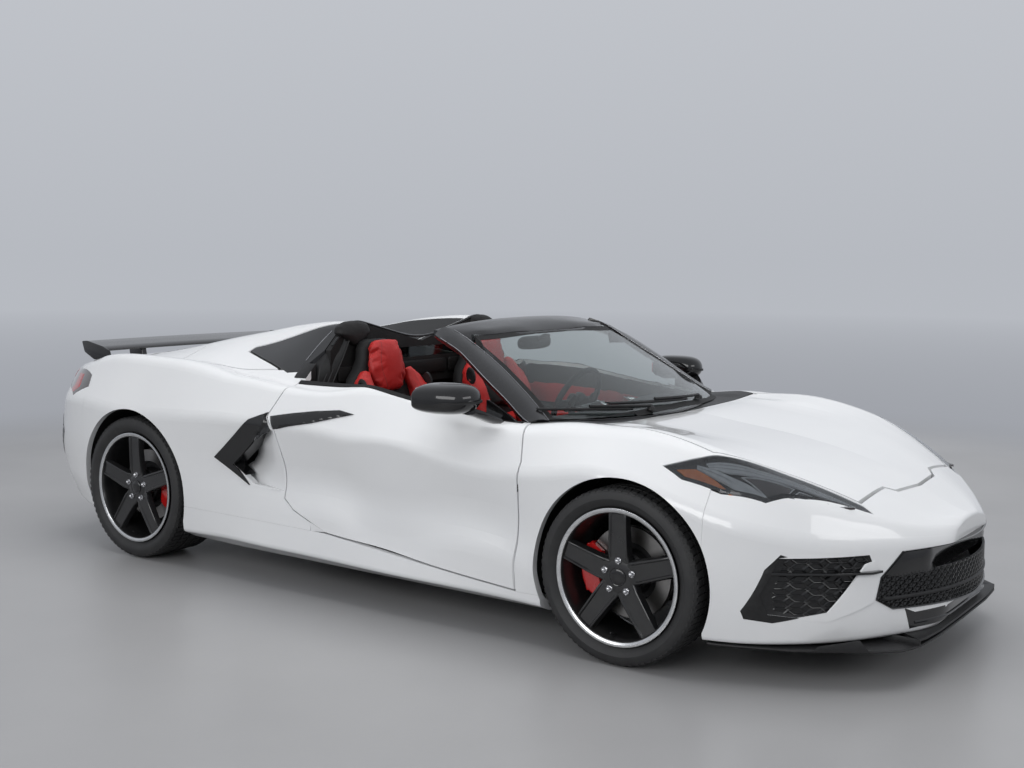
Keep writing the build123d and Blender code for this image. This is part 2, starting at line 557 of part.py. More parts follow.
def wheel(rim_radius, rim_width, face_x, hub_x):
    """Cast wheel centred on the origin: barrel, five flat spokes and a hub face at hub_x."""
    half = rim_width / 2
    barrel = [
        (rim_radius + 13, half + 6), (rim_radius + 13, half), (rim_radius, half - 4), (rim_radius, -half + 4),
        (rim_radius + 10, -half), (rim_radius + 10, -half - 5), (rim_radius - 4, -half - 5), (rim_radius - 12, -half + 30),
        (rim_radius - 12, half - 30), (rim_radius - 4, half + 6),
    ]
    body = revolve(Face(polygon([(x, r, 0) for r, x in barrel])), Axis.X, 360)
    body += disc(82, hub_x, face_x, 0, 0)
    outline = [(-58, 50), (-40, 120), (-62, rim_radius - 8), (62, rim_radius - 8), (40, 120), (58, 50)]
    spoke = prism(outline, "x", face_x - 26, face_x)
    for i in range(5):
        body += Rot(72 * i, 0, 0) * spoke
    body -= disc(wheel_bore / 2, hub_x - 1, face_x - 12, 0, 0)
    for i in range(5):
        angle = math.radians(72 * i + 90)
        body -= disc(bolt_hole / 2, hub_x - 1, face_x + 1, bolt_circle / 2 * math.cos(angle), bolt_circle / 2 * math.sin(angle))
    return body


def brake_disc(radius, x0, hub_x):
    body = disc(radius, x0, x0 + 30, 0, 0) - disc(radius - 62, x0 - 1, x0 + 31, 0, 0)
    body += disc(85, x0, hub_x - seam, 0, 0) - disc(74, x0 - 1, hub_x - 12, 0, 0)
    body += disc(radius - 60, x0 + 10, x0 + 20, 0, 0) - disc(80, x0, x0 + 30, 0, 0)
    body += disc(50, x0 - 10, hub_x - seam, 0, 0)
    body += disc(wheel_bore / 2 - seat_clearance, hub_x - 5, hub_x + 18, 0, 0)
    return body - disc(spindle_radius + seat_clearance, x0 - 11, hub_x - 8, 0, 0)


def caliper(radius, x0, ahead):
    """A block over the disc's edge, clear of it all round; ahead is -1 for in front of the axle."""
    ring = disc(radius + 22, x0 - 32, x0 + 62, 0, 0) - disc(radius - 64, x0 - 40, x0 + 70, 0, 0)
    ring = ring & prism([(ahead * 40, -115), (ahead * 400, -260), (ahead * 400, 260), (ahead * 40, 115)], "x", x0 - 50, x0 + 80)
    return ring - disc(radius + 5.5, x0 - 5.5, x0 + 35.5, 0, 0)


def place(shape, x, y, z):
    return Pos(x, y, z) * shape


AXLES = [
    ("f", front_track_half, front_axle_y, front_tyre_radius, front_tyre_width, front_rim_radius, front_rim_width, 172, 1),
    ("r", rear_track_half, rear_axle_y, rear_tyre_radius, rear_tyre_width, rear_rim_radius, rear_rim_width, 175, -1),
]
spindle_solids = {}
for end, track, y, radius, width, rim_radius, rim_width, disc_radius, caliper_side in AXLES:
    half = rim_width / 2
    hub_x, face_x, disc_x = half - 62, half - 6, half - 128
    rubber = tyre(radius, width, rim_radius, rim_width)
    alloy = wheel(rim_radius, rim_width, face_x, hub_x)
    rotor = brake_disc(disc_radius, disc_x, hub_x)
    for side_name, turn in (("l", lambda s: s), ("r", mirrored)):
        write(f"tyre_{end}{side_name}", turn(place(rubber, track, y, radius)))
        write(f"wheel_{end}{side_name}", turn(place(alloy, track, y, radius)))
        write(f"brake_disc_{end}{side_name}", turn(place(rotor, track, y, radius)))
    clamp = caliper(disc_radius, disc_x, caliper_side)
    stub = disc(spindle_radius, disc_x - 60, hub_x - 14, 0, 0) + disc(48, disc_x - 60, disc_x - 16, 0, 0)
    upright_block = block(disc_x - 62, disc_x - 37, -45, 45, -135, 135)
    bracket = block(disc_x - 60, disc_x - 32.3, 0, caliper_side * 150, -30, 30) if caliper_side > 0 else block(disc_x - 60, disc_x - 32.3, -150, 0, -30, 30)
    knuckle = stub + upright_block + bracket
    spindle_solids[end] = (place(knuckle, track, y, radius), place(clamp, track, y, radius), track + disc_x - 62)

front_knuckle, front_caliper, front_inner_x = spindle_solids["f"]
kingpin_x = front_inner_x + 12
for height in (-115, 115):
    z = front_tyre_radius + height
    front_knuckle = front_knuckle - upright(12 + seat_clearance, kingpin_x, front_axle_y, z - 30, z + 30)
for name, turn in (("left", lambda s: s), ("right", mirrored)):
    write(f"front_knuckle_{name}", turn(front_knuckle))
    write(f"front_caliper_{name}", turn(front_caliper))
arms = None
for height in (-115, 115):
    z = front_tyre_radius + height
    low, high = (z - 40, z - 26) if height < 0 else (z + 26, z + 40)
    arm = prism([(kingpin_x + 14, front_axle_y - 22), (kingpin_x + 14, front_axle_y + 22), (392, front_axle_y + 130), (380.6, front_axle_y + 130), (380.6, front_axle_y - 130), (392, front_axle_y - 130)], "z", low, high)
    arm += upright(12, kingpin_x, front_axle_y, min(low, z - 20), max(high, z + 20))
    arms = arm if arms is None else arms + arm
write("front_arms", pair(arms))
rear_knuckle, rear_caliper, rear_inner_x = spindle_solids["r"]
rear = rear_knuckle
for height in (-115, 115):
    z = rear_tyre_radius + height
    rear += prism([(rear_inner_x + 20, rear_axle_y - 30), (rear_inner_x + 20, rear_axle_y + 30), (471, rear_axle_y + 60), (450.6, rear_axle_y + 60), (450.6, rear_axle_y - 60), (471, rear_axle_y - 60)], "z", z - 8, z + 8)
rear += disc(22, 231, rear_inner_x + 20, rear_axle_y, rear_tyre_radius)
write("rear_suspension", pair(rear))
write("rear_calipers", pair(rear_caliper))

liner_room = body_loft(wall + liner_clearance)
liners = []
for y, z, radius, x0 in ((front_axle_y, front_tyre_radius, front_well_radius, 595), (rear_axle_y, rear_tyre_radius, rear_well_radius, 600)):
    ring = disc(radius + 4, x0, 1100, y, z) - disc(radius, x0 - 1, 1101, y, z) - block(0, 1200, y - 500, y + 500, 0, 205)
    liner = max((ring & liner_room).solids(), key=lambda s: s.volume)
    if y < 0:
        liner += block(640, 700, y + radius, -925 - seat_clearance, z - 10, z + 10)
    liners.append(liner)
write("wheel_liners", Compound(liners + [mirrored(s) for s in liners]))
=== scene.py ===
# %% [markdown]
# An open two-seat roadster with its engine behind the seats.
# The CAD model gives every panel, seat, axle and hinge its place. Here the panels get their paint,
# and the pieces that need a finer hand are built over the CAD solids that they stand for.
# Everything is in metres: the nose points along -Y, +X is the driver's side and Z is up.

# %% Load the frame
import math

import bmesh
import bpy
from mathutils import Matrix, Vector
from mathutils.bvhtree import BVHTree
from mathutils.geometry import delaunay_2d_cdt


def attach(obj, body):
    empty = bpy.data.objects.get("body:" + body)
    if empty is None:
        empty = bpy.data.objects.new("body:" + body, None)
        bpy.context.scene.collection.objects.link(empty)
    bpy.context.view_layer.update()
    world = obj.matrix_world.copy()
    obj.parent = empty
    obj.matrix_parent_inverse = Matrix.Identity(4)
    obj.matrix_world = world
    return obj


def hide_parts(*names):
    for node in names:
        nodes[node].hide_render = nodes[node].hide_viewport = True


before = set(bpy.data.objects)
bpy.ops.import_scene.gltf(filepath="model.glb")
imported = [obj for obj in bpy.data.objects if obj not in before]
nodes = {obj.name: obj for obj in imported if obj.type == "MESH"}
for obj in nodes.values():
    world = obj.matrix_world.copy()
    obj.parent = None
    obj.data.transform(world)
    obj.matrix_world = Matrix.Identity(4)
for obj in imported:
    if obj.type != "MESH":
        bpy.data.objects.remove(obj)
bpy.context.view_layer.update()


def in_scene(name, data):
    """A new object around its data, linked to the scene."""
    made = bpy.data.objects.new(name, data)
    bpy.context.scene.collection.objects.link(made)
    return made


# %% [markdown]
# The car's own layout. The wheels are placed from these few values, so they are named once.

# %% Layout of the car
FRONT_AXLE_Y, REAR_AXLE_Y = -1.335, 1.387
FRONT_TRACK, REAR_TRACK = 0.824, 0.793
FRONT_TYRE, REAR_TYRE = 0.327, 0.3455
SIDES = {"left": 1, "right": -1}
WHITE = (0.8, 0.81, 0.82)
print("wheelbase", round(REAR_AXLE_Y - FRONT_AXLE_Y, 3), "m")

# %% [markdown]
# The camera stands low beside the right front wing, as a person would who bends down to look along
# the car. Its matrix is written from an azimuth, a downward angle and a slight roll.

# %% Camera
CAMERA_PLACE = Vector((-4.741, -3.601, 1.469))
AZIMUTH, DOWNWARD, ROLL = math.radians(-54.343), math.radians(5.746), math.radians(0.476)
LENS_TO_SENSOR = 1252.061 / 1024
back = Vector(
    (math.sin(AZIMUTH) * math.cos(DOWNWARD), -math.cos(AZIMUTH) * math.cos(DOWNWARD), math.sin(DOWNWARD)))
level = (-back).cross(Vector((0, 0, 1))).normalized()
upward = level.cross(-back)
right = math.cos(ROLL) * level + math.sin(ROLL) * upward
top = -math.sin(ROLL) * level + math.cos(ROLL) * upward
camera_data = bpy.data.cameras.new("camera")
camera_data.sensor_width = 36
camera_data.lens = LENS_TO_SENSOR * camera_data.sensor_width
camera = in_scene("camera", camera_data)
camera.matrix_world = Matrix.Translation(CAMERA_PLACE) @ Matrix((right, top, back)).transposed().to_4x4()
bpy.context.scene.camera = camera
print("lens", round(camera_data.lens, 2), "mm")

# %% [markdown]
# A finish is a small node tree. Almost every real surface varies a little, so one maker gives each
# finish a second tone, a wandering roughness and a fine relief, all read from the piece's own
# coordinates in metres. What is the same all over is set on the shader's own sockets. Four small
# helpers add nodes, set their sockets, link them as a line of text says and do sums in a tree.

# %% Maker of finishes
COAT_ROUGHNESS = 0.03
DRIFT_LOW, DRIFT_HIGH = 0.35, 0.7


def added(tree, **kinds):
    """New nodes in a tree, by the names given here."""
    return {name: tree.nodes.new(kind) for name, kind in kinds.items()}


def set_sockets(node, **values):
    """Sets input sockets by name, an underscore standing for a space, and returns the node."""
    for socket, value in values.items():
        node.inputs[socket.replace("_", " ")].default_value = value
    return node


def wired(tree, made, wires):
    """Links nodes as a text says: "node.output > node.input, ...", each socket by name or number."""
    for wire in wires.split(", "):
        (source, output), (target, entry) = (end.split(".") for end in wire.split(" > "))
        output, entry = (int(socket) if socket.isdigit() else socket for socket in (output, entry))
        tree.links.new(made[source].outputs[output], made[target].inputs[entry])


def maths(tree, operation, *values):
    """A Math node over numbers and other nodes' outputs. Returns its own output."""
    node = tree.nodes.new("ShaderNodeMath")
    node.operation = operation
    for socket, value in zip(node.inputs, values):
        if isinstance(value, (int, float)):
            socket.default_value = value
        else:
            tree.links.new(value, socket)
    return node.outputs["Value"]


def finish(name, colour, rough, second=None, metal=0.0, coat=0.0, scale=40.0, wander=0.06, relief=0.0,
        grain=900.0, **sockets):
    """A procedural finish: base tone that drifts to second, roughness that wanders, and fine relief."""
    material = bpy.data.materials.new(name)
    material.use_nodes = True
    tree = material.node_tree
    made = added(tree, place="ShaderNodeTexCoord", drift="ShaderNodeTexNoise", tones="ShaderNodeValToRGB",
        span="ShaderNodeMapRange")
    made["shader"] = set_sockets(tree.nodes["Principled BSDF"], Metallic=metal, Coat_Weight=coat,
        Coat_Roughness=COAT_ROUGHNESS, **sockets)
    set_sockets(made["drift"], Scale=scale, Detail=4)
    set_sockets(made["span"], To_Min=max(0.0, rough - wander), To_Max=min(1.0, rough + wander))
    low, high = made["tones"].color_ramp.elements
    low.position, high.position = DRIFT_LOW, DRIFT_HIGH
    low.color, high.color = (*colour, 1), (*(second or [c * 0.9 for c in colour]), 1)
    wired(tree, made, "place.Object > drift.Vector, drift.Fac > tones.Fac, tones.Color > shader.Base Color")
    wired(tree, made, "drift.Fac > span.Value, span.Result > shader.Roughness")
    if relief:
        made.update(added(tree, fine="ShaderNodeTexNoise", bump="ShaderNodeBump"))
        made["bump"].name = "bump"
        set_sockets(made["fine"], Scale=grain, Detail=3)
        set_sockets(made["bump"], Strength=1.0, Distance=relief)
        wired(tree, made, "place.Object > fine.Vector, fine.Fac > bump.Height, bump.Normal > shader.Normal")
    return material


def height_of(material, texture, output, scale):
    """Puts another texture in place of the grain under a finish's bump."""
    tree = material.node_tree
    made = {"place": tree.nodes["Texture Coordinate"], "bump": tree.nodes["bump"],
        **added(tree, field=texture)}
    set_sockets(made["field"], Scale=scale)
    wired(tree, made, f"place.Object > field.Vector, field.{output} > bump.Height")


print("node helpers and the maker of finishes are ready")

# %% [markdown]
# Paint first. White paint is a pale base under a clear coat. The coat carries the sharp reflection
# and a barely visible orange peel keeps that reflection from looking like glass.

# %% Paints and metals
paint = finish("white_paint", WHITE, 0.32, second=(0.775, 0.785, 0.8), coat=1.0, scale=2.5, relief=0.00002,
    grain=260)
gloss_black = finish("gloss_black", (0.006, 0.006, 0.0065), 0.1, second=(0.009, 0.009, 0.0095), coat=0.5,
    scale=12, wander=0.03, relief=0.00001, grain=300, Specular_IOR_Level=0.35)
satin_black = finish("satin_black", (0.012, 0.012, 0.0125), 0.45, second=(0.018, 0.018, 0.019), scale=60,
    relief=0.00012, grain=1400, Specular_IOR_Level=0.35)
cast_metal = finish("cast_metal", (0.33, 0.33, 0.34), 0.45, second=(0.26, 0.26, 0.27), metal=0.9, scale=25,
    relief=0.0003, grain=500)
steel = finish("polished_steel", (0.62, 0.62, 0.63), 0.18, second=(0.56, 0.56, 0.57), metal=1.0, scale=50,
    relief=0.00003)
caliper_red = finish("caliper_red", (0.52, 0.012, 0.012), 0.28, second=(0.45, 0.01, 0.01), coat=0.8,
    scale=30, relief=0.00008, grain=400)
print("finishes:", len(bpy.data.materials))

# %% [markdown]
# Some finishes have a structure of their own. Leather is a field of small cells, carbon cloth is a
# twill of two crossing bands, and machined iron or aluminium shows rings about its axle.

# %% Leather, rubber, cloth and glass
red_leather = finish("red_leather", (0.46, 0.018, 0.016), 0.5, second=(0.38, 0.014, 0.013), scale=9,
    relief=0.00035)
height_of(red_leather, "ShaderNodeTexVoronoi", "Distance", 520)
black_leather = finish("black_leather", (0.009, 0.0085, 0.0085), 0.52, second=(0.015, 0.014, 0.014),
    scale=9, relief=0.0003, Specular_IOR_Level=0.3)
height_of(black_leather, "ShaderNodeTexVoronoi", "Distance", 560)
soft_black = finish("soft_black", (0.01, 0.01, 0.0105), 0.6, second=(0.015, 0.015, 0.015), scale=30,
    relief=0.0002, grain=1500, Specular_IOR_Level=0.3)
rubber = finish("tyre_rubber", (0.017, 0.017, 0.018), 0.62, second=(0.026, 0.026, 0.026), scale=18,
    relief=0.0002, grain=900)
carpet = finish("carpet", (0.009, 0.009, 0.0095), 0.9, second=(0.018, 0.018, 0.0185), scale=300,
    relief=0.0012, grain=1200, Specular_IOR_Level=0.2)
wheel_black = finish("wheel_black", (0.01, 0.01, 0.011), 0.3, second=(0.014, 0.014, 0.014), coat=0.35,
    scale=20, relief=0.00002, grain=300)
silver_lamp = finish("silver_lamp", (0.42, 0.43, 0.44), 0.2, second=(0.34, 0.35, 0.36), metal=0.7, scale=60,
    relief=0.0001, grain=260)
amber = finish("amber_lens", (0.62, 0.16, 0.01), 0.2, second=(0.5, 0.11, 0.008), coat=1.0, scale=60,
    relief=0.0003, grain=220)
red_lens = finish("red_lens", (0.42, 0.008, 0.008), 0.15, second=(0.3, 0.005, 0.006), coat=1.0, scale=60,
    relief=0.0002, grain=200)
dark_lens = finish("dark_lens", (0.02, 0.012, 0.012), 0.08, second=(0.03, 0.015, 0.015), coat=1.0, scale=40,
    wander=0.03, relief=0.00004, grain=200)
mirror_glass = finish("mirror_glass", (0.75, 0.77, 0.79), 0.03, second=(0.72, 0.74, 0.76), metal=1.0,
    scale=5, wander=0.02)
screen_dark = finish("display", (0.008, 0.01, 0.012), 0.08, second=(0.012, 0.014, 0.016), coat=1.0,
    scale=14, wander=0.02)


def clear_glass(name, colour, **sockets):
    """Tinted glass: light passes, and a slow ripple keeps the reflection from being perfect."""
    return finish(name, colour, 0.01, second=[c * 0.97 for c in colour], scale=3, wander=0.005,
        relief=0.00001, grain=12, Transmission_Weight=1.0, IOR=1.45, **sockets)


window_glass = clear_glass("window_glass", (0.6, 0.67, 0.655), Specular_IOR_Level=0.3)
lamp_cover_glass = clear_glass("lamp_cover", (0.82, 0.84, 0.85))


def ringed(material, centre, spacing, depth):
    """Turns a finish's relief into fine rings about the X axis through centre, like a lathe's feed marks."""
    tree = material.node_tree
    made = {"place": tree.nodes["Texture Coordinate"], "bump": tree.nodes["bump"],
        **added(tree, shift="ShaderNodeMapping", rings="ShaderNodeTexWave")}
    made["rings"].wave_type, made["rings"].rings_direction = "RINGS", "X"
    set_sockets(made["shift"], Location=[-c for c in centre])
    set_sockets(made["rings"], Scale=1 / (spacing * 3.14), Distortion=0.6, Detail=2)
    set_sockets(made["bump"], Distance=depth)
    wired(tree, made, "place.Object > shift.Vector, shift.Vector > rings.Vector, rings.Fac > bump.Height")
    return material


def twill(name, colour, second, size):
    """Carbon cloth under lacquer: warp and weft tows of the given width that pass over two and under two."""
    material = finish(name, colour, 0.22, coat=0.5, scale=8, wander=0.03, relief=0.00003,
        Specular_IOR_Level=0.35)
    tree = material.node_tree
    made = {"place": tree.nodes["Texture Coordinate"], "shader": tree.nodes["Principled BSDF"],
        **added(tree, split="ShaderNodeSeparateXYZ", mix="ShaderNodeMix")}
    x, y, z = made["split"].outputs
    warp = maths(tree, "FLOOR", maths(tree, "DIVIDE", maths(tree, "ADD", x, y), size))
    weft = maths(tree, "FLOOR", maths(tree, "DIVIDE", z, size))
    step = maths(tree, "PINGPONG", maths(tree, "ADD", warp, weft), 2.0)
    made["mix"].data_type = "RGBA"
    set_sockets(made["mix"], A=(*colour, 1), B=(*second, 1))
    tree.links.new(maths(tree, "GREATER_THAN", step, 0.9), made["mix"].inputs["Factor"])
    wired(tree, made, "place.Object > split.Vector, mix.Result > shader.Base Color")
    return material


carbon = twill("carbon_cloth", (0.006, 0.006, 0.0065), (0.016, 0.016, 0.017), 0.004)
print("finishes:", len(bpy.data.materials))

# %% [markdown]
# Next come the small tools of the trade. A new piece is a mesh, a finish and a body to ride on.
# Sharp edges stay sharp and the rest is shaded smooth, as on a moulding.

# %% Helpers for new pieces
def new_piece(name, points, faces, material, sharp=35.0):
    """A mesh object in the car's frame, shaded smooth up to an angle."""
    mesh = bpy.data.meshes.new(name)
    mesh.from_pydata([tuple(p) for p in points], [], faces)
    mesh.validate()
    shape = bmesh.new()
    shape.from_mesh(mesh)
    bmesh.ops.remove_doubles(shape, verts=shape.verts, dist=1e-6)
    bmesh.ops.recalc_face_normals(shape, faces=shape.faces)
    shape.to_mesh(mesh)
    shape.free()
    piece = in_scene(name, mesh)
    mesh.materials.append(material)
    shade(piece, sharp)
    return piece


def shade(piece, sharp=35.0):
    """Smooth shading with edges sharper than an angle kept crisp."""
    mesh = piece.data
    mesh.shade_smooth()
    mesh.set_sharp_from_angle(angle=math.radians(sharp))


def apply_modifiers(piece):
    """Bakes the live modifiers into the mesh, which the frame and the export expect."""
    depsgraph = bpy.context.evaluated_depsgraph_get()
    baked = bpy.data.meshes.new_from_object(piece.evaluated_get(depsgraph))
    piece.modifiers.clear()
    piece.data = baked
    return piece


def bevelled(piece, width, segments=2, angle=40.0):
    """Rounds a piece's crisp edges by a small radius."""
    bevel = piece.modifiers.new("edge", "BEVEL")
    bevel.width, bevel.segments, bevel.limit_method = width, segments, "ANGLE"
    bevel.angle_limit = math.radians(angle)
    apply_modifiers(piece)
    shade(piece)
    return piece


def smoothed(piece, levels, sharp):
    """Rounds a piece all over by subdivision."""
    finer = piece.modifiers.new("finer", "SUBSURF")
    finer.levels = finer.render_levels = levels
    apply_modifiers(piece)
    shade(piece, sharp)


def carry(piece, body, replaces=()):
    """Puts a piece on its body and hides the CAD nodes that it stands for."""
    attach(piece, body)
    if replaces:
        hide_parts(*replaces)
    return piece


def joined(name, pieces):
    """Several pieces of one finish or more as one object."""
    shape = bmesh.new()
    materials = []
    for piece in pieces:
        start = len(shape.faces)
        shape.from_mesh(piece.data)
        shape.faces.ensure_lookup_table()
        slots = list(piece.data.materials)
        for material in slots:
            if material not in materials:
                materials.append(material)
        for face in shape.faces[start:]:
            face.material_index = materials.index(slots[face.material_index])
        bpy.data.objects.remove(piece)
    mesh = bpy.data.meshes.new(name)
    shape.to_mesh(mesh)
    shape.free()
    for material in materials:
        mesh.materials.append(material)
    return in_scene(name, mesh)


def moved(piece, matrix):
    """Moves a piece's mesh, not its object, and keeps its faces pointing outwards."""
    piece.data.transform(matrix)
    if matrix.determinant() < 0:
        piece.data.flip_normals()
    return piece


def copy_of(piece, name, matrix=Matrix.Identity(4)):
    """A second piece with its own mesh, moved by a matrix."""
    return moved(in_scene(name, piece.data.copy()), matrix)


MIRROR = Matrix.Diagonal((-1, 1, 1, 1))


def turned(degrees, axis):
    """A rotation about an axis through the origin."""
    return Matrix.Rotation(math.radians(degrees), 4, axis)


def quads(rows, count, loop=True, wrap=False):
    """Four-sided faces between rows of count points: loop closes a row, wrap joins the last and first."""
    faces = []
    for i in range(rows if wrap else rows - 1):
        a, b = i * count, (i + 1) % rows * count
        faces += [(a + j, a + (j + 1) % count, b + (j + 1) % count, b + j)
            for j in range(count if loop else count - 1)]
    return faces


def lathe(name, profile, material, steps=96, closed=True, sharp=35.0):
    """A profile of (x, radius) points turned about the X axis."""
    points = []
    for i in range(steps):
        angle = math.tau * i / steps
        points += [(x, r * math.cos(angle), r * math.sin(angle)) for x, r in profile]
    return new_piece(name, points, quads(steps, len(profile), closed, wrap=True), material, sharp)


def slab(name, outline, axis, low, high, material, edge=0.0, sharp=35.0):
    """A flat outline given thickness along an axis, with its edges rounded by edge."""
    place = {"x": lambda a, b, c: (c, a, b), "y": lambda a, b, c: (a, c, b),
        "z": lambda a, b, c: (a, b, c)}[axis]
    count = len(outline)
    points = [place(a, b, low) for a, b in outline] + [place(a, b, high) for a, b in outline]
    faces = [tuple(range(count)), tuple(range(2 * count - 1, count - 1, -1))]
    faces += [(i, (i + 1) % count, count + (i + 1) % count, count + i) for i in range(count)]
    piece = new_piece(name, points, faces, material, sharp)
    return bevelled(piece, edge) if edge else piece


def skinned(name, rings, material, sharp=35.0):
    """A skin over rings of points with as many points each, closed at both ends."""
    count = len(rings[0])
    last = (len(rings) - 1) * count
    faces = quads(len(rings), count) + [tuple(range(count)),
        tuple(last + j for j in reversed(range(count)))]
    return new_piece(name, [p for ring in rings for p in ring], faces, material, sharp)


def tube(name, path, radius, material):
    """A round bar along a smooth path of points."""
    curve = bpy.data.curves.new(name, "CURVE")
    curve.dimensions, curve.bevel_depth, curve.bevel_resolution, curve.use_fill_caps = "3D", radius, 2, True
    spline = curve.splines.new("NURBS")
    spline.points.add(len(path) - 1)
    for point, place in zip(spline.points, path):
        point.co = (*place, 1)
    spline.order_u, spline.use_endpoint_u, spline.resolution_u = 3, True, 8
    holder = in_scene(name, curve)
    mesh = bpy.data.meshes.new_from_object(holder.evaluated_get(bpy.context.evaluated_depsgraph_get()))
    bpy.data.objects.remove(holder)
    mesh.materials.clear()
    mesh.materials.append(material)
    piece = in_scene(name, mesh)
    shade(piece, 50)
    return piece


print("helpers ready, mirror plane x = 0")

# %% [markdown]
# Geometry Nodes repeat one small shape round an axle: spokes, lug nuts, tread blocks and disc vanes.
# The tree turns each copy about X, realizes the copies and gives them one material. Its result is
# made a plain mesh at once, because the export drops instances. Later trees end in the same way.

# %% Repeat round an axle
DRESSED = "ins.Material > dress.Material, dress.Geometry > outs.Geometry"
REAL_AND_DRESSED = "copies.Instances > real.Geometry, real.Geometry > dress.Geometry, " + DRESSED


def node_group(name, **inputs):
    """A Geometry Nodes tree with these inputs and one output, and the nodes that every tree has."""
    tree = bpy.data.node_groups.new(name, "GeometryNodeTree")
    for label, kind in inputs.items():
        tree.interface.new_socket(label, in_out="INPUT", socket_type=f"NodeSocket{kind}")
    tree.interface.new_socket("Geometry", in_out="OUTPUT", socket_type="NodeSocketGeometry")
    return tree, added(
        tree, ins="NodeGroupInput", outs="NodeGroupOutput", shape="GeometryNodeObjectInfo",
        copies="GeometryNodeInstanceOnPoints", real="GeometryNodeRealizeInstances",
        dress="GeometryNodeSetMaterial",
    )


def ring_tree():
    """Count copies of Shape turned evenly about X, the first of them by Phase."""
    tree, made = node_group("repeat_round_axle", Shape="Object", Count="Int", Phase="Float",
        Material="Material")
    made.update(
        added(tree, dots="GeometryNodePoints", index="GeometryNodeInputIndex", spin="ShaderNodeCombineXYZ"))
    ins = made["ins"].outputs
    share = maths(tree, "DIVIDE", made["index"].outputs["Index"], ins["Count"])
    tree.links.new(maths(tree, "MULTIPLY_ADD", share, math.tau, ins["Phase"]), made["spin"].inputs["X"])
    wired(tree, made, "ins.Shape > shape.Object, ins.Count > dots.Count, dots.Points > copies.Points")
    wired(tree, made,
        "shape.Geometry > copies.Instance, spin.Vector > copies.Rotation, " + REAL_AND_DRESSED)
    return tree


def set_inputs(modifier, **values):
    """Sets a Geometry Nodes modifier's inputs, each by its socket's identifier."""
    for item in modifier.node_group.interface.items_tree:
        if item.in_out == "INPUT" and item.name in values:
            modifier[item.identifier] = values[item.name]


def grown(name, tree, material, **values):
    """Runs a Geometry Nodes tree on an empty mesh and keeps the result as a plain piece."""
    piece = in_scene(name, bpy.data.meshes.new(name))
    modifier = piece.modifiers.new("grow", "NODES")
    modifier.node_group = tree
    set_inputs(modifier, Material=material, **values)
    apply_modifiers(piece)
    shade(piece, 35)
    return piece


repeat_round_axle = ring_tree()


def round_axle(name, shape, count, material, phase=0.0):
    """The given shape repeated about the X axis. The shape itself is used up."""
    ring = grown(name, repeat_round_axle, material, Shape=shape, Count=count, Phase=phase)
    bpy.data.objects.remove(shape)
    return ring


print("repeat tree has", len(repeat_round_axle.nodes), "nodes")

# %% [markdown]
# A wheel of this car has five broad flat spokes. Each spoke is a shallow channel: its edges stand
# up as rails, and its floor is a few millimetres lower. One spoke is a skin over cross-sections
# from hub to rim, and the ring tree makes five. The barrel and its bright machined lip are turned
# profiles, as the real ones are turned on a lathe.

# %% Wheel
LUG_CIRCLE = 0.06
SPOKE_COUNT = 5
CHANNEL_DEPTH = 0.005


def spoke(face_x, rim_radius):
    """One spoke along +Z. Its rows: radius, half width, face height, rail height, depth."""
    rows = [
        (0.05, 0.04, -0.006, 0.0, 0.03),
        (0.066, 0.04, -0.005, 0.001, 0.03), (0.084, 0.0395, -0.003, 0.0055, 0.028),
        (0.13, 0.038, -0.001, 0.0065, 0.026), (rim_radius - 0.06, 0.0365, 0.001, 0.0065, 0.024),
        (rim_radius - 0.012, 0.0355, 0.003, 0.006, 0.022), (rim_radius + 0.001, 0.0355, 0.002, 0.003, 0.02),
    ]
    rings = []
    for radius, half, face, rail, depth in rows:
        floor, base = face_x + face - CHANNEL_DEPTH, face_x + face - depth
        crest = floor + rail
        across = [
            (half + 0.007, base), (half + 0.003, floor - 0.004), (half, crest - 0.0015),
            (half - 0.0025, crest), (half - 0.0065, crest), (half - 0.0105, floor),
        ]
        rings.append([(x, -y, radius) for y, x in across] + [(x, y, radius) for y, x in across[::-1]])
    return skinned("spoke", rings, wheel_black, sharp=28)


def lug_nut(face_x):
    """A conical seat, a six-sided nut and its domed cap, at the lug circle on +Z."""
    seat = [(-0.012, 0.0), (-0.012, 0.0125), (-0.0065, 0.0135), (-0.005, 0.0125), (-0.009, 0.0095),
        (-0.0095, 0.0)]
    body = [(-0.011, 0.0), (-0.011, 0.0088), (0.002, 0.0082), (0.003, 0.007)]
    dome = [(0.003, 0.007), (0.0045, 0.0062), (0.0065, 0.0035), (0.007, 0.0)]
    nut = joined("lug_nut", [
        lathe("part", [(face_x + x, r) for x, r in profile], material, steps, closed=False, sharp=sharp)
        for profile, material, steps, sharp in ((seat, gloss_black, 32, 35), (body, steel, 6, 20),
            (dome, steel, 24, 35))
    ])
    return moved(nut, Matrix.Translation((0, 0, LUG_CIRCLE)))


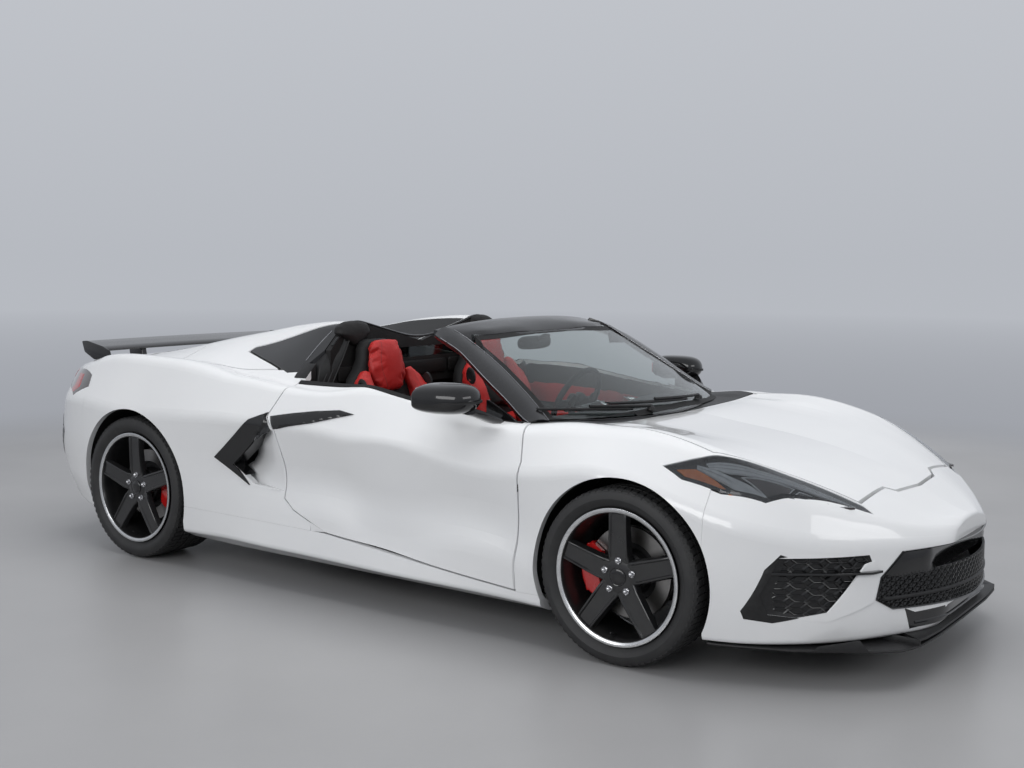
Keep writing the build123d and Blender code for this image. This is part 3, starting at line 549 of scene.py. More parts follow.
def make_wheel(end, rim_radius, half, machined):
    """A whole wheel about the origin, outer side towards +X."""
    face_x, lip = half - 0.006, half + 0.006
    outer = [
        (lip - 0.001, 0.004), (lip - 0.005, 0.0125), (half + 0.001, 0.013), (half - 0.001, 0.008),
        (half - 0.006, 0.001), (half - 0.02, -0.001), (half - 0.032, -0.012),
    ]
    inner = [(0.034, -0.012), (0.006, 0.0), (0.001, 0.009), (-0.005, 0.01), (-0.005, -0.003),
        (0.036, -0.018)]
    back = [(half - 0.055, -0.02), (half - 0.03, -0.013), (half - 0.012, -0.011), (lip - 0.006, -0.006)]
    barrel = [(x, rim_radius + r) for x, r in outer + [(x - half, r) for x, r in inner] + back]
    body = lathe(f"barrel_{end}", barrel, wheel_black, 144)
    ring = [(0.006, -0.0055), (0.0005, 0.0035), (0.0, 0.006), (0.001, 0.012), (0.0045, 0.0131),
        (0.0055, 0.012), (0.007, -0.004)]
    ring = [(lip - x, rim_radius + r) for x, r in ring]
    bright = lathe(f"lip_{end}", ring, machined, 192, sharp=20)
    spokes = round_axle(f"spokes_{end}", spoke(face_x, rim_radius - 0.006), SPOKE_COUNT, wheel_black)
    hub = [(0.055, 0.034), (0.055, 0.078), (0.03, 0.08), (0.014, 0.066), (0.0105, 0.058), (0.0085, 0.038),
        (0.008, 0.034)]
    hub = lathe(f"hub_{end}", [(face_x - x, r) for x, r in hub], wheel_black, 96)
    cap = [(0.02, 0.0), (0.02, 0.0345), (0.005, 0.0345), (0.0035, 0.033), (0.0045, 0.03), (0.0025, 0.027),
        (0.001, 0.014), (0.0006, 0.0)]
    cap = lathe(f"cap_{end}", [(face_x - x, r) for x, r in cap], gloss_black, 64, closed=False)
    seats = round_axle(f"nuts_{end}", lug_nut(face_x), SPOKE_COUNT, steel)
    stem = lathe("stem", [(0.0, 0.0), (0.0, 0.0042), (0.022, 0.004), (0.03, 0.0032), (0.042, 0.003),
        (0.043, 0.0)], satin_black, 20, closed=False)
    moved(stem, Matrix.Translation((half - 0.045, 0.022, -(rim_radius - 0.016))) @ turned(-22, "Y"))
    print(end, "wheel:", 2 * round(rim_radius + 0.013, 3), "m across the lip")
    return joined(f"wheel_{end}", [body, bright, spokes, hub, cap, seats, stem])


def machined_for(end, centre):
    """A bright turned finish whose rings are centred on that wheel's axle."""
    return ringed(finish(f"machined_lip_{end}", (0.66, 0.665, 0.67), 0.22, second=(0.58, 0.585, 0.59),
        metal=1.0, scale=30, relief=0.00004), centre, 0.0012, 0.00004)


print("spokes on each wheel:", SPOKE_COUNT)

# %% [markdown]
# A tyre is a turned carcass with a tread cut into it. The carcass carries the round shoulder, the
# sidewall and a raised rim guard. The tread blocks are short bars between deep grooves. The ring
# tree repeats one row of blocks round the carcass, so the grooves are real gaps.

# %% Tyre
TREAD_BLOCKS = 72
# Each rib: from and to in shares of half the tread, its slant and how much of the pitch it fills.
RIBS = [(-0.92, -0.6, 0.35, 0.8), (-0.54, -0.22, 0.15, 0.86), (-0.16, 0.16, 0.0, 0.94),
    (0.22, 0.54, -0.15, 0.86), (0.6, 0.92, -0.35, 0.8)]


def tread_row(radius, half_tread, pitch):
    """One pitch of the tread on +Z: a straight rib in the middle and two slanted blocks on each side."""
    blocks = []
    depth, span = 0.006, math.tan(pitch / 2) * radius
    for low, high, slant, fill in RIBS:
        x0, x1, run, lean = low * half_tread, high * half_tread, span * fill, span * slant
        drop = 0.0035 if abs(low + high) > 1.0 else 0.0008 if abs(low + high) > 0.5 else 0.0
        outside = 1 if low + high > 0 else -1
        lean0, lean1 = (lean, 0) if outside < 0 else (0, lean)
        corners = [(x0, -run + lean0), (x1, -run + lean1), (x1, run + lean1), (x0, run + lean0)]
        tops = [radius - 0.0004 - (drop if (x - (x0 + x1) / 2) * outside > 0 else drop * 0.2)
            for x, _ in corners]
        points = [(x, y, radius - depth - 0.004) for x, y in corners] + [(x * 0.998, y * 0.96, z)
            for (x, y), z in zip(corners, tops)]
        blocks.append(
            new_piece("block", points, [(3, 2, 1, 0), (4, 5, 6, 7)] + quads(2, 4), rubber, sharp=20))
    return joined("tread_row", blocks)


def make_tyre(end, radius, half, rim_radius, bead):
    """A whole tyre about the origin."""
    profile = [(bead + x, rim_radius + r) for x, r in ((-0.004, 0.015), (0.001, 0.0165), (0.005, 0.022))]
    profile += [(half - 0.01, rim_radius + 0.03), (half - 0.004, rim_radius + 0.037)]
    shoulder = ((0.0, 0.04), (0.001, 0.032), (0.004, 0.02), (0.008, 0.012), (0.015, 0.0065), (0.023, 0.004),
        (0.028, 0.007), (0.05, 0.0068))
    profile += [(half - x, radius - r) for x, r in shoulder] + [(0.0, radius - 0.0065)]
    profile = profile + [(-x, r) for x, r in reversed(profile[:-1])]
    inside = [(-(bead - 0.012), rim_radius + 0.006), (bead - 0.012, rim_radius + 0.006)]
    carcass = lathe(f"carcass_{end}", profile + inside, rubber, 160, sharp=30)
    row = tread_row(radius, half - 0.02, math.tau / TREAD_BLOCKS)
    tread = round_axle(f"tread_{end}", row, TREAD_BLOCKS, rubber)
    base = [(0.026, -0.0085, 0.008), (0.026, 0.0085, 0.008), (0.0065, 0.0085, 0.0135),
        (0.0065, -0.0085, 0.0135)]
    crown = [(0.026, -0.008, 0.0016), (0.026, 0.008, 0.0016), (0.0075, 0.0075, 0.0085),
        (0.0075, -0.0075, 0.0085)]
    corners = [(half - x, y, radius - z) for x, y, z in base + crown]
    lug = new_piece("shoulder_lug", corners, [(3, 2, 1, 0), (4, 5, 6, 7)] + quads(2, 4), rubber, sharp=20)
    other = copy_of(lug, "shoulder_lug_inner", MIRROR)
    shoulders = round_axle(f"shoulders_{end}", joined("shoulder_lugs", [lug, other]), TREAD_BLOCKS, rubber,
        phase=math.pi / TREAD_BLOCKS)
    print(end, "tyre:", TREAD_BLOCKS, "blocks round the tread")
    return joined(f"tyre_{end}", [carcass, tread, shoulders])


print("tread blocks round each tyre:", TREAD_BLOCKS)

# %% [markdown]
# Behind the spokes sit the brake disc, a vented iron ring on a black hat, and the red caliper that
# bridges it. The caliper's CAD solid is a plain bridge, so a fuller casting with ribs stands for it.

# %% Brakes
VANES = 48
CALIPER_STEP = 5.6  # degrees between two cross-sections of a caliper


def make_disc(end, radius, x0, hub_x, iron):
    """A vented disc: two plates, the vanes between them, and the hat that bolts to the hub."""
    plates = [
        lathe("outer_plate", [(x0 + 0.019, radius - 0.06), (x0 + 0.03, radius - 0.058),
            (x0 + 0.03, radius - 0.0015), (x0 + 0.0285, radius), (x0 + 0.019, radius)], iron, 120),
        lathe("inner_plate", [(x0, radius - 0.058), (x0 + 0.011, radius - 0.06), (x0 + 0.011, radius),
            (x0 + 0.0015, radius), (x0, radius - 0.0015)], iron, 120),
    ]
    vane = slab("vane", [(-0.0022, radius - 0.058), (0.0022, radius - 0.058), (0.003, radius - 0.003),
        (-0.003, radius - 0.003)], "x", x0 + 0.01, x0 + 0.02, cast_metal)
    vanes = round_axle(f"vanes_{end}", vane, VANES, cast_metal)
    hat = [(x0 + 0.012, radius - 0.062), (x0 + 0.012, 0.088)]
    hat += [(hub_x + x, r) for x, r in ((-0.01, 0.084), (-0.002, 0.076), (-0.002, 0.034), (0.004, 0.033),
        (0.004, 0.03), (-0.012, 0.03), (-0.012, 0.072))]
    hat = lathe("hat", hat + [(x0 + 0.004, 0.08), (x0 + 0.004, radius - 0.062)], satin_black, 96)
    return joined(f"disc_{end}", plates + [vanes, hat])


def make_caliper(end, radius, x0, ahead):
    """A red fixed caliper: a curved half on each side of the disc, and four bridges over its edge."""
    parts = []
    for low, high in ((x0 + 0.0365, x0 + 0.059), (x0 - 0.031, x0 - 0.0065)):
        rings = []
        for i in range(13):
            share = abs(i - 6) / 6
            angle = math.radians(ahead * (90 - (i - 6) * CALIPER_STEP))
            inner_r = radius - 0.06 + 0.01 * share ** 4
            outer_r = radius + 0.021 - 0.012 * share ** 4
            swell = 0.0 if i % 4 else 0.0025
            bump = (high - low) * (0.3 * share ** 3)
            near, far = (low, high - bump) if low > x0 else (low + bump, high)
            loop = [(near, inner_r), (far, inner_r + 0.006), (far + (swell if low > x0 else 0),
                (inner_r + outer_r) / 2), (far, outer_r - 0.007), (far - 0.006, outer_r), (near, outer_r)]
            if low < x0:
                loop = [(low + high - x, r) for x, r in loop]
            rings.append([(x, r * math.sin(angle), r * math.cos(angle)) for x, r in loop])
        parts.append(skinned("caliper_half", rings, caliper_red, sharp=40))
    for i in (-4.6, -1.6, 1.6, 4.6):
        angle = math.radians(ahead * (90 - i * CALIPER_STEP))
        bridge = slab("bridge", [(a, b + radius + 0.008)
            for a, b in ((-0.01, 0.0), (0.01, 0.0), (0.008, 0.012), (-0.008, 0.012))], "x", x0 - 0.025,
            x0 + 0.052, caliper_red, edge=0.002)
        moved(bridge, Matrix.Rotation(-angle, 4, "X"))
        parts.append(bridge)
    print(end, "caliper:", len(parts), "parts")
    return joined(f"caliper_{end}", parts)


print("vanes in each brake disc:", VANES)

# %% [markdown]
# Each axle's wheel, tyre, disc and caliper are made once, outer side towards +X. Copies go to both
# ends of the axle, mirrored on the right, and each rides on its wheel's body, or a front caliper on
# the knuckle that steers.

# %% Wheels, tyres and brakes in place
# Each row: end, the axle's y, track, tyre radius and half width, rim radius and half width, disc
# radius, and 1 where the caliper sits ahead of the axle or -1 where it sits behind.
AXLES = [
    ("front", FRONT_AXLE_Y, FRONT_TRACK, FRONT_TYRE, 0.1225, 0.241, 0.108, 0.172, 1),
    ("rear", REAR_AXLE_Y, REAR_TRACK, REAR_TYRE, 0.1525, 0.254, 0.1395, 0.175, -1),
]
for end, axle_y, track, tyre_radius, tyre_half, rim_radius, rim_half, disc_radius, caliper_way in AXLES:
    hub_x, disc_x = rim_half - 0.062, rim_half - 0.128
    machined = machined_for(end, (0, axle_y, tyre_radius))
    iron = ringed(finish(f"disc_iron_{end}", (0.3, 0.29, 0.28), 0.33, second=(0.24, 0.235, 0.23), metal=1.0,
        scale=20, relief=0.0001), (0, axle_y, tyre_radius), 0.002, 0.00008)
    made = {
        "wheel": make_wheel(end, rim_radius, rim_half, machined),
        "tyre": make_tyre(end, tyre_radius, tyre_half, rim_radius, rim_half - 0.006),
        "brake_disc": make_disc(end, disc_radius, disc_x, hub_x, iron),
        "caliper": make_caliper(end, disc_radius, disc_x, caliper_way),
    }
    for side, sign in SIDES.items():
        place = Matrix.Translation((sign * track, axle_y, tyre_radius)) @ (Matrix.Identity(4) if sign > 0
            else MIRROR)
        for part, source in made.items():
            piece = copy_of(source, f"{part}_{end}_{side}_shape", place)
            shade(piece, 30)
            if part != "caliper":
                carry(piece, f"wheel_{end}_{side}", [f"{part}_{end[0]}{side[0]}"])
            elif end == "front":
                carry(piece, f"knuckle_{side}", [f"front_caliper_{side}"])
            else:
                carry(piece, "body", ["rear_calipers"])
    for source in made.values():
        bpy.data.objects.remove(source)
print("wheels in place")

# %% [markdown]
# The stage: a large pale floor, a few soft lamps and an even sky. Past the car the floor turns into
# a plain backdrop tone that only the camera and reflections see, so floor and sky meet without a
# line, while the floor near the car keeps its shadow.

# %% Floor, lamps and sky
bpy.ops.mesh.primitive_plane_add(size=400, location=(0, 0, 0))
floor = bpy.context.object
floor.name = "floor"
floor_finish = finish("studio_floor", (0.345, 0.345, 0.35), 0.36, second=(0.315, 0.315, 0.322), scale=0.9,
    relief=0.0002, grain=60)
floor.data.materials.append(floor_finish)
BACKDROP_NEAR = (0.345, 0.36, 0.395, 1)
BACKDROP_FAR = (0.47, 0.49, 0.53, 1)
BACKDROP_TOP = (0.54, 0.56, 0.6, 1)


def seen_by_camera(tree):
    """A share: 1 for camera, glossy and transmission rays, 0 for the light that falls on the car."""
    paths = tree.nodes.new("ShaderNodeLightPath").outputs
    seen = maths(tree, "MAXIMUM", paths["Is Camera Ray"], paths["Is Glossy Ray"])
    return maths(tree, "MAXIMUM", seen, paths["Is Transmission Ray"])


tree = floor_finish.node_tree
made = {"place": tree.nodes["Texture Coordinate"], "shader": tree.nodes["Principled BSDF"],
    "output": tree.nodes["Material Output"]}
made.update(added(
    tree, distance="ShaderNodeVectorMath", fade="ShaderNodeMapRange", deepen="ShaderNodeMapRange",
    tone="ShaderNodeMix", glow="ShaderNodeEmission", blend="ShaderNodeMixShader",
))
made["distance"].operation, made["tone"].data_type = "LENGTH", "RGBA"
made["fade"].interpolation_type = "SMOOTHSTEP"
set_sockets(made["fade"], From_Min=4.6, From_Max=7.4)
set_sockets(made["deepen"], From_Min=6.0, From_Max=30.0)
set_sockets(made["tone"], A=BACKDROP_NEAR, B=BACKDROP_FAR)
tree.links.new(maths(tree, "MULTIPLY", made["fade"].outputs["Result"], seen_by_camera(tree)),
    made["blend"].inputs["Fac"])
wired(tree, made, "place.Object > distance.0, distance.Value > fade.Value, distance.Value > deepen.Value")
wired(tree, made, "deepen.Result > tone.Factor, tone.Result > glow.Color, glow.Emission > blend.2")
wired(tree, made, "shader.BSDF > blend.1, blend.Shader > output.Surface")


def soft_lamp(name, place, aim, size, power):
    """A wide rectangular lamp that points at aim."""
    data = bpy.data.lights.new(name, "AREA")
    data.shape, data.size, data.size_y, data.energy = "RECTANGLE", *size, power
    lamp = in_scene(name, data)
    lamp.location = place
    lamp.rotation_euler = (Vector(aim) - Vector(place)).to_track_quat("-Z", "Y").to_euler()
    lamp.visible_transmission = False
    return lamp


soft_lamp("overhead", (0, -0.3, 5.2), (0, 0, 0), (4.2, 7.5), 205).visible_glossy = False
soft_lamp("right_side", (-6.5, -0.5, 3.0), (0, 0, 0.6), (7.0, 2.0), 150)
soft_lamp("front", (-0.5, -7.5, 3.2), (0, -1.5, 0.5), (5.0, 1.8), 70)
soft_lamp("left_side", (6.5, 1.0, 3.4), (0, 0, 0.6), (7.0, 2.0), 105).visible_glossy = False
world = bpy.data.worlds.new("studio")
world.use_nodes = True
tree = world.node_tree
made = added(
    tree, blend="ShaderNodeMixShader", seen="ShaderNodeBackground", lit="ShaderNodeBackground",
    way="ShaderNodeTexCoord", split="ShaderNodeSeparateXYZ", climb="ShaderNodeMapRange",
    shades="ShaderNodeMix",
)
made["output"], made["shades"].data_type = tree.nodes["World Output"], "RGBA"
set_sockets(made["shades"], A=BACKDROP_FAR, B=BACKDROP_TOP)
set_sockets(made["climb"], From_Min=0.0, From_Max=0.25)
set_sockets(made["lit"], Color=(0.94, 0.96, 1.0, 1), Strength=0.42)
tree.links.new(seen_by_camera(tree), made["blend"].inputs["Fac"])
wired(tree, made, "way.Generated > split.Vector, split.Z > climb.Value, climb.Result > shades.Factor")
wired(tree, made, "shades.Result > seen.Color, lit.Background > blend.1, seen.Background > blend.2")
wired(tree, made, "blend.Shader > output.Surface")
bpy.context.scene.world = world
bpy.context.scene.view_settings.view_transform = "Standard"

# %% [markdown]
# The CAD panels already have the car's real shape, shut lines and thickness, so their meshes stay
# and only get their finishes.

# %% Dress the CAD panels
DRESS = {
    paint: ("front_fascia", "front_fenders", "hood", "door_left", "door_right", "rockers", "quarter_panels",
        "tonneau", "trunk_lid", "rear_fascia"),
    gloss_black: ("quarter_blades", "sail_trims", "rear_diffuser", "spoiler"),
    satin_black: ("front_grilles", "cowl", "wheel_liners", "luggage_wells", "deck_crossbar"),
    carpet: ("tub",),
    black_leather: ("roll_hoop_trim", "dashboard", "console"),
    window_glass: ("windscreen_glass", "rear_window"),
    dark_lens: ("tail_lamps",),
    cast_metal: ("engine_block", "front_arms", "rear_suspension", "front_knuckle_left",
        "front_knuckle_right"),
    steel: ("exhaust_tips",),
}
for material, names in DRESS.items():
    for name in names:
        nodes[name].data.materials.clear()
        nodes[name].data.materials.append(material)
print("dressed", sum(len(n) for n in DRESS.values()), "nodes")

# %% [markdown]
# Much of the trim follows the body's skin: lamp covers, black blades, intake surrounds. Such a piece
# is cut as a flat outline and then laid on the surface below it. The outline is filled with small
# triangles, a ray from each corner finds the skin, and the plate gets its thickness there.

# %% Lay trim on a surface
def surface_of(*names):
    """A searchable surface over the meshes of CAD nodes."""
    points, faces = [], []
    for name in names:
        mesh, start = nodes[name].data, len(points)
        points += [v.co.copy() for v in mesh.vertices]
        faces += [tuple(start + i for i in p.vertices) for p in mesh.polygons]
    return BVHTree.FromPolygons(points, faces)


VIEWS = {
    "top": (lambda a, b, d: Vector((a, b, 2 - d)), Vector((0, 0, -1))),
    "side": (lambda a, b, d: Vector((2 - d, a, b)), Vector((-1, 0, 0))),
    "front": (lambda a, b, d: Vector((a, d - 4, b)), Vector((0, 1, 0))),
    "rear": (lambda a, b, d: Vector((a, 4 - d, b)), Vector((0, -1, 0))),
}


def area_of(points):
    """Twice the signed area of a closed outline: positive where it runs anticlockwise."""
    return sum(a[0] * b[1] - b[0] * a[1] for a, b in zip(points, points[1:] + points[:1]))


def symmetric(right):
    """A closed outline from its right-hand points, listed downwards from its top right corner."""
    left = [(-x, y) for x, y in right[::-1] if x]
    return left[-1:] + right + left[:-1]


def both_ways(points):
    """An open line from its right-hand half, whose first point lies in the middle."""
    return [(-x, *rest) for x, *rest in points[:0:-1]] + points


def inset(points, amount):
    """A closed flat outline moved inwards by amount, keeping its corners."""
    turn, result = (-amount if area_of(points) > 0 else amount), []
    for before, at, after in zip(points[-1:] + points[:-1], points, points[1:] + points[:1]):
        first, second = (Vector(at) - Vector(before)).normalized(), (
            Vector(after) - Vector(at)).normalized()
        normal = Vector((first.y + second.y, -first.x - second.x)).normalized()
        stretch = max(0.35, normal.dot(Vector((first.y, -first.x))))
        result.append(tuple(Vector(at) + normal * (turn / stretch)))
    return result


def paired(outer, inner, step):
    """Two outlines with as many corners, given points together so that the outer's lie within step."""
    near, far = [], []
    for a, b, c, d in zip(outer, outer[1:] + outer[:1], inner, inner[1:] + inner[:1]):
        count = max(1, math.ceil((Vector(b) - Vector(a)).length / step))
        near += [Vector(a).lerp(Vector(b), i / count) for i in range(count)]
        far += [Vector(c).lerp(Vector(d), i / count) for i in range(count)]
    return near, far


def oblong(x0, x1, y0, y1):
    """A rectangle's outline."""
    return [(x0, y0), (x1, y0), (x1, y1), (x0, y1)]


def rounded(points, radius, steps=5):
    """A closed outline whose corners are eased by a curve that starts a radius away."""
    result = []
    for before, at, after in zip(points[-1:] + points[:-1], points, points[1:] + points[:1]):
        before, at, after = Vector(before), Vector(at), Vector(after)
        a = at + (before - at).normalized() * min(radius, (before - at).length * 0.45)
        b = at + (after - at).normalized() * min(radius, (after - at).length * 0.45)
        result += [tuple((a.lerp(at, s)).lerp(at.lerp(b, s), s))
            for s in (i / steps for i in range(steps + 1))]
    return result


def filled(outline, step):
    """An outline as flat triangles, with inner points every step. The points of its edge come first.

    Returns the points, the triangles and the number of points on the edge."""
    ring, _ = paired(outline, outline, step)
    low = Vector((min(p.x for p in ring), min(p.y for p in ring)))
    high = Vector((max(p.x for p in ring), max(p.y for p in ring)))
    inner = []
    for i in range(1, int((high.x - low.x) / step) + 1):
        for j in range(1, int((high.y - low.y) / step) + 1):
            spot = low + Vector((i * step, j * step))
            crossings = sum(
                (a.y > spot.y) != (b.y > spot.y)
                and spot.x < a.x + (spot.y - a.y) / (b.y - a.y) * (b.x - a.x)
                for a, b in zip(ring, ring[1:] + ring[:1])
            )
            if crossings % 2 and min((spot - p).length for p in ring) > step * 0.55:
                inner.append(spot)
    corners, _, triangles, *_ = delaunay_2d_cdt(ring + inner, [], [list(range(len(ring)))], 1, 1e-6)
    return [Vector(c) for c in corners], [tuple(t) for t in triangles], len(ring)


def plate_faces(triangles, half, rim):
    """Faces of a plate: front, back, and a wall round the rim, whose points come first in both halves."""
    faces = triangles + [tuple(half + i for i in reversed(t)) for t in triangles]
    return faces + [(i, half + i, half + (i + 1) % rim, (i + 1) % rim) for i in range(rim)]


def depths(spots, view, ground):
    """How deep below the view's plane the ground lies at each flat point."""
    place, way = VIEWS[view]
    found, missed = {}, []
    for i, (a, b) in enumerate(spots):
        hit = ground.ray_cast(place(a, b, 0), way)
        if hit[0]:
            found[i] = hit[3]
        else:
            missed.append(i)
    for i in missed:
        near = min(found, key=lambda k: (Vector(spots[k]) - Vector(spots[i])).length)
        found[i] = found[near]
    return [found[i] for i in range(len(spots))]


def laid(name, outline, view, ground, material, lift=0.0, thick=0.003, step=0.02, edge_lift=None,
        sharp=35.0):
    """A plate laid on the ground. Lift is how far it stands off it, edge_lift the same along its edge."""
    place, _ = VIEWS[view]
    corners, triangles, rim = filled(outline, step)
    below = depths(corners, view, ground)
    lifts = [lift if edge_lift is None or i >= rim else edge_lift for i in range(len(corners))]
    points = [place(c.x, c.y, d - l + back) for back in (0.0, thick)
        for c, d, l in zip(corners, below, lifts)]
    return new_piece(name, points, plate_faces(triangles, len(corners), rim), material, sharp)


def band(name, outline, width, view, ground, material, lift=0.0, thick=0.003, step=0.02, start=0.0):
    """A frame of even width laid along a closed outline, from start inwards."""
    place, _ = VIEWS[view]
    near, far = paired(inset(outline, start), inset(outline, start + width), step)
    points = []
    for spots, extra in ((near, 0.0), (far, 0.0), (far, thick), (near, thick)):
        points += [place(a, b, d - lift + extra) for (a, b), d in zip(spots, depths(spots, view, ground))]
    return new_piece(name, points, quads(4, len(near), wrap=True), material)


def both_sides(piece, bodies, replaces=((), ())):
    """Keeps a left-hand piece, adds its mirror image, and puts each on its body."""
    name = piece.name
    twin = copy_of(piece, name + "_right", MIRROR)
    piece.name = name + "_left"
    for one, body, stands_for in zip((piece, twin), bodies, replaces):
        shade(one)
        carry(one, body, stands_for)
    return piece, twin


BODY, DOORS = ("body", "body"), ("door_left", "door_right")
print("views to lay trim from:", ", ".join(VIEWS))

# %% [markdown]
# A headlamp is a clear cover over a dark bowl. Inside lie a bright strip along the inner edge, a
# second bright strip across, an amber marker at the outer end and dark lenses. Each is an outline
# in plan, laid at its own depth below the cover's skin, so the lamp is deep from every side.

# %% Headlamps
LAMP = [(0.862, -1.478), (0.8, -1.6), (0.769, -1.645), (0.648, -1.866), (0.507, -2.082), (0.505, -2.12),
    (0.7, -1.948), (0.79, -1.842), (0.846, -1.7), (0.872, -1.56)]
STRIP_UPPER = [(0.806, -1.62), (0.769, -1.69), (0.722, -1.79), (0.655, -1.895), (0.59, -1.99),
    (0.535, -2.072)]
STRIP_LOWER = [(0.812, -1.64), (0.792, -1.712), (0.744, -1.812), (0.678, -1.912), (0.616, -2.0),
    (0.56, -2.076)]
CROSS_UPPER = [(0.818, -1.592), (0.808, -1.654), (0.798, -1.722), (0.786, -1.78), (0.778, -1.836)]
CROSS_LOWER = [(0.826, -1.596), (0.822, -1.654), (0.814, -1.72), (0.806, -1.776), (0.796, -1.828)]
MARKER = [(0.85, -1.53), (0.828, -1.59), (0.826, -1.668), (0.828, -1.744), (0.836, -1.73), (0.846, -1.655),
    (0.856, -1.577)]
LENSES = [
    [(0.782, -1.745), (0.72, -1.85), (0.69, -1.905), (0.742, -1.895), (0.776, -1.852)],
    [(0.682, -1.918), (0.622, -2.008), (0.572, -2.078), (0.7, -1.958), (0.738, -1.905)],
]


def between(upper, lower, low, high):
    """The strip of an open band between two shares of its width."""
    top = [tuple(Vector(a).lerp(Vector(b), low)) for a, b in zip(upper, lower)]
    bottom = [tuple(Vector(a).lerp(Vector(b), high)) for a, b in zip(upper, lower)]
    return top + bottom[::-1]


lamp_skin = surface_of("headlamps")
cover = laid("lamp_cover", inset(LAMP, 0.0012), "top", lamp_skin, lamp_cover_glass, lift=-0.0002,
    thick=0.0025, step=0.018)
parts = [
    laid("bowl", inset(LAMP, 0.0015), "top", lamp_skin, gloss_black, lift=-0.0235, thick=0.002, step=0.014,
        edge_lift=-0.0032),
    band("frame", LAMP, 0.0085, "top", lamp_skin, gloss_black, lift=-0.003, thick=0.004, start=0.0015),
    laid("marker", MARKER, "top", lamp_skin, amber, lift=-0.01, thick=0.004, step=0.012),
]
for upper, lower, shares, lift, thick in (
    (STRIP_UPPER, STRIP_LOWER, ((0.0, 0.26), (0.34, 0.62), (0.7, 1.0)), -0.007, 0.006),
    (CROSS_UPPER, CROSS_LOWER, ((0.0, 0.42), (0.55, 1.0)), -0.008, 0.01),
):
    for low, high in shares:
        parts.append(laid("strip", between(upper, lower, low, high), "top", lamp_skin, silver_lamp,
            lift=lift, thick=thick, step=0.012))
for i, lens in enumerate(LENSES):
    parts.append(
        laid("lens", lens, "top", lamp_skin, dark_lens, lift=-0.013 - 0.002 * i, thick=0.006, step=0.014))
    parts.append(
        band("lens_rim", lens, 0.003, "top", lamp_skin, silver_lamp, lift=-0.0115 - 0.002 * i, thick=0.004))
insides = joined("lamp_insides", parts)
both_sides(cover, BODY, (("headlamps",), ("headlamps",)))
both_sides(insides, BODY)
print("each headlamp holds", len(parts), "pieces under its cover")

# %% [markdown]
# The intakes in the nose have a mesh of long six-sided cells. One cell is a thin six-sided ring.
# Geometry Nodes set copies of it out in staggered rows, drop every corner on a smooth former with
# rays, and delete whatever misses it. The former is a curved sheet fitted to the CAD grille.

# %% Mesh of cells
def mesh_tree():
    """Rows and Columns of Cell, staggered about Middle, dropped on the former, culled beside it."""
    tree, made = node_group("cell_mesh", Cell="Object", Former="Object", Columns="Int", Rows="Int",
        Width="Float", Height="Float", Middle="Vector", Material="Material")
    made.update(added(
        tree, dots="GeometryNodePoints", index="GeometryNodeInputIndex", spot="ShaderNodeCombineXYZ",
        shift="ShaderNodeVectorMath", former="GeometryNodeObjectInfo", ray="GeometryNodeRaycast",
        place="GeometryNodeInputPosition", split="ShaderNodeSeparateXYZ", source="ShaderNodeCombineXYZ",
        depth="ShaderNodeCombineXYZ", put="ShaderNodeVectorMath", missed="FunctionNodeBooleanMath",
        cull="GeometryNodeDeleteGeometry", drop="GeometryNodeSetPosition",
    ))
    ins, index = made["ins"].outputs, made["index"].outputs["Index"]
    row = maths(tree, "FLOOR", maths(tree, "DIVIDE", index, ins["Columns"]))
    column = maths(tree, "SUBTRACT", index, maths(tree, "MULTIPLY", row, ins["Columns"]))
    stagger = maths(tree, "MULTIPLY", maths(tree, "MODULO", row, 2), 0.5)
    steps = maths(tree, "SUBTRACT", maths(tree, "ADD", column, stagger),
        maths(tree, "DIVIDE", ins["Columns"], 2))
    climb = maths(tree, "SUBTRACT", row, maths(tree, "DIVIDE", ins["Rows"], 2))
    tree.links.new(maths(tree, "MULTIPLY", ins["Columns"], ins["Rows"]), made["dots"].inputs["Count"])
    tree.links.new(maths(tree, "MULTIPLY", steps, ins["Width"]), made["spot"].inputs["X"])
    tree.links.new(maths(tree, "MULTIPLY", climb, ins["Height"]), made["spot"].inputs["Z"])
    wired(tree, made, "spot.Vector > shift.0, ins.Middle > shift.1, shift.Vector > dots.Position")
    wired(tree, made,
        "ins.Cell > shape.Object, shape.Geometry > copies.Instance, dots.Points > copies.Points")
    set_sockets(made["source"], Y=-4)
    set_sockets(made["ray"], Ray_Direction=(0, 1, 0), Ray_Length=4)
    wired(tree, made,
        "ins.Former > former.Object, place.Position > split.Vector, split.X > source.X, split.Z > source.Z")
    wired(tree, made, "former.Geometry > ray.Target Geometry, source.Vector > ray.Source Position")
    wired(tree, made,
        "split.Y > depth.Y, ray.Hit Position > put.0, depth.Vector > put.1, ray.Is Hit > missed.0")
    made["missed"].operation = "NOT"
    wired(tree, made,
        "copies.Instances > real.Geometry, real.Geometry > cull.Geometry, missed.Boolean > cull.Selection")
    wired(tree, made,
        "cull.Geometry > drop.Geometry, put.Vector > drop.Position, drop.Geometry > dress.Geometry")
    wired(tree, made, DRESSED)
    return tree


cell_mesh = mesh_tree()


def cell_ring(width, height, wall, front, depth):
    """A six-sided ring with pointed left and right ends and a wall that tapers to its front edge."""
    corners = [(-0.5, 0.0), (-0.3, 0.5), (0.3, 0.5), (0.5, 0.0), (0.3, -0.5), (-0.3, -0.5)]
    rings = [(0.0, front + 0.0012), (wall * 0.35, front), (wall, front + 0.0012),
        (wall + 0.0015, front + depth), (0.0, front + depth)]
    points = []
    for shrink, y in rings:
        points += [(x * (width - 2 * shrink * 1.15), y, z * (height - 2 * shrink)) for x, z in corners]
    return new_piece("cell", points, quads(5, 6, wrap=True), gloss_black, 25)


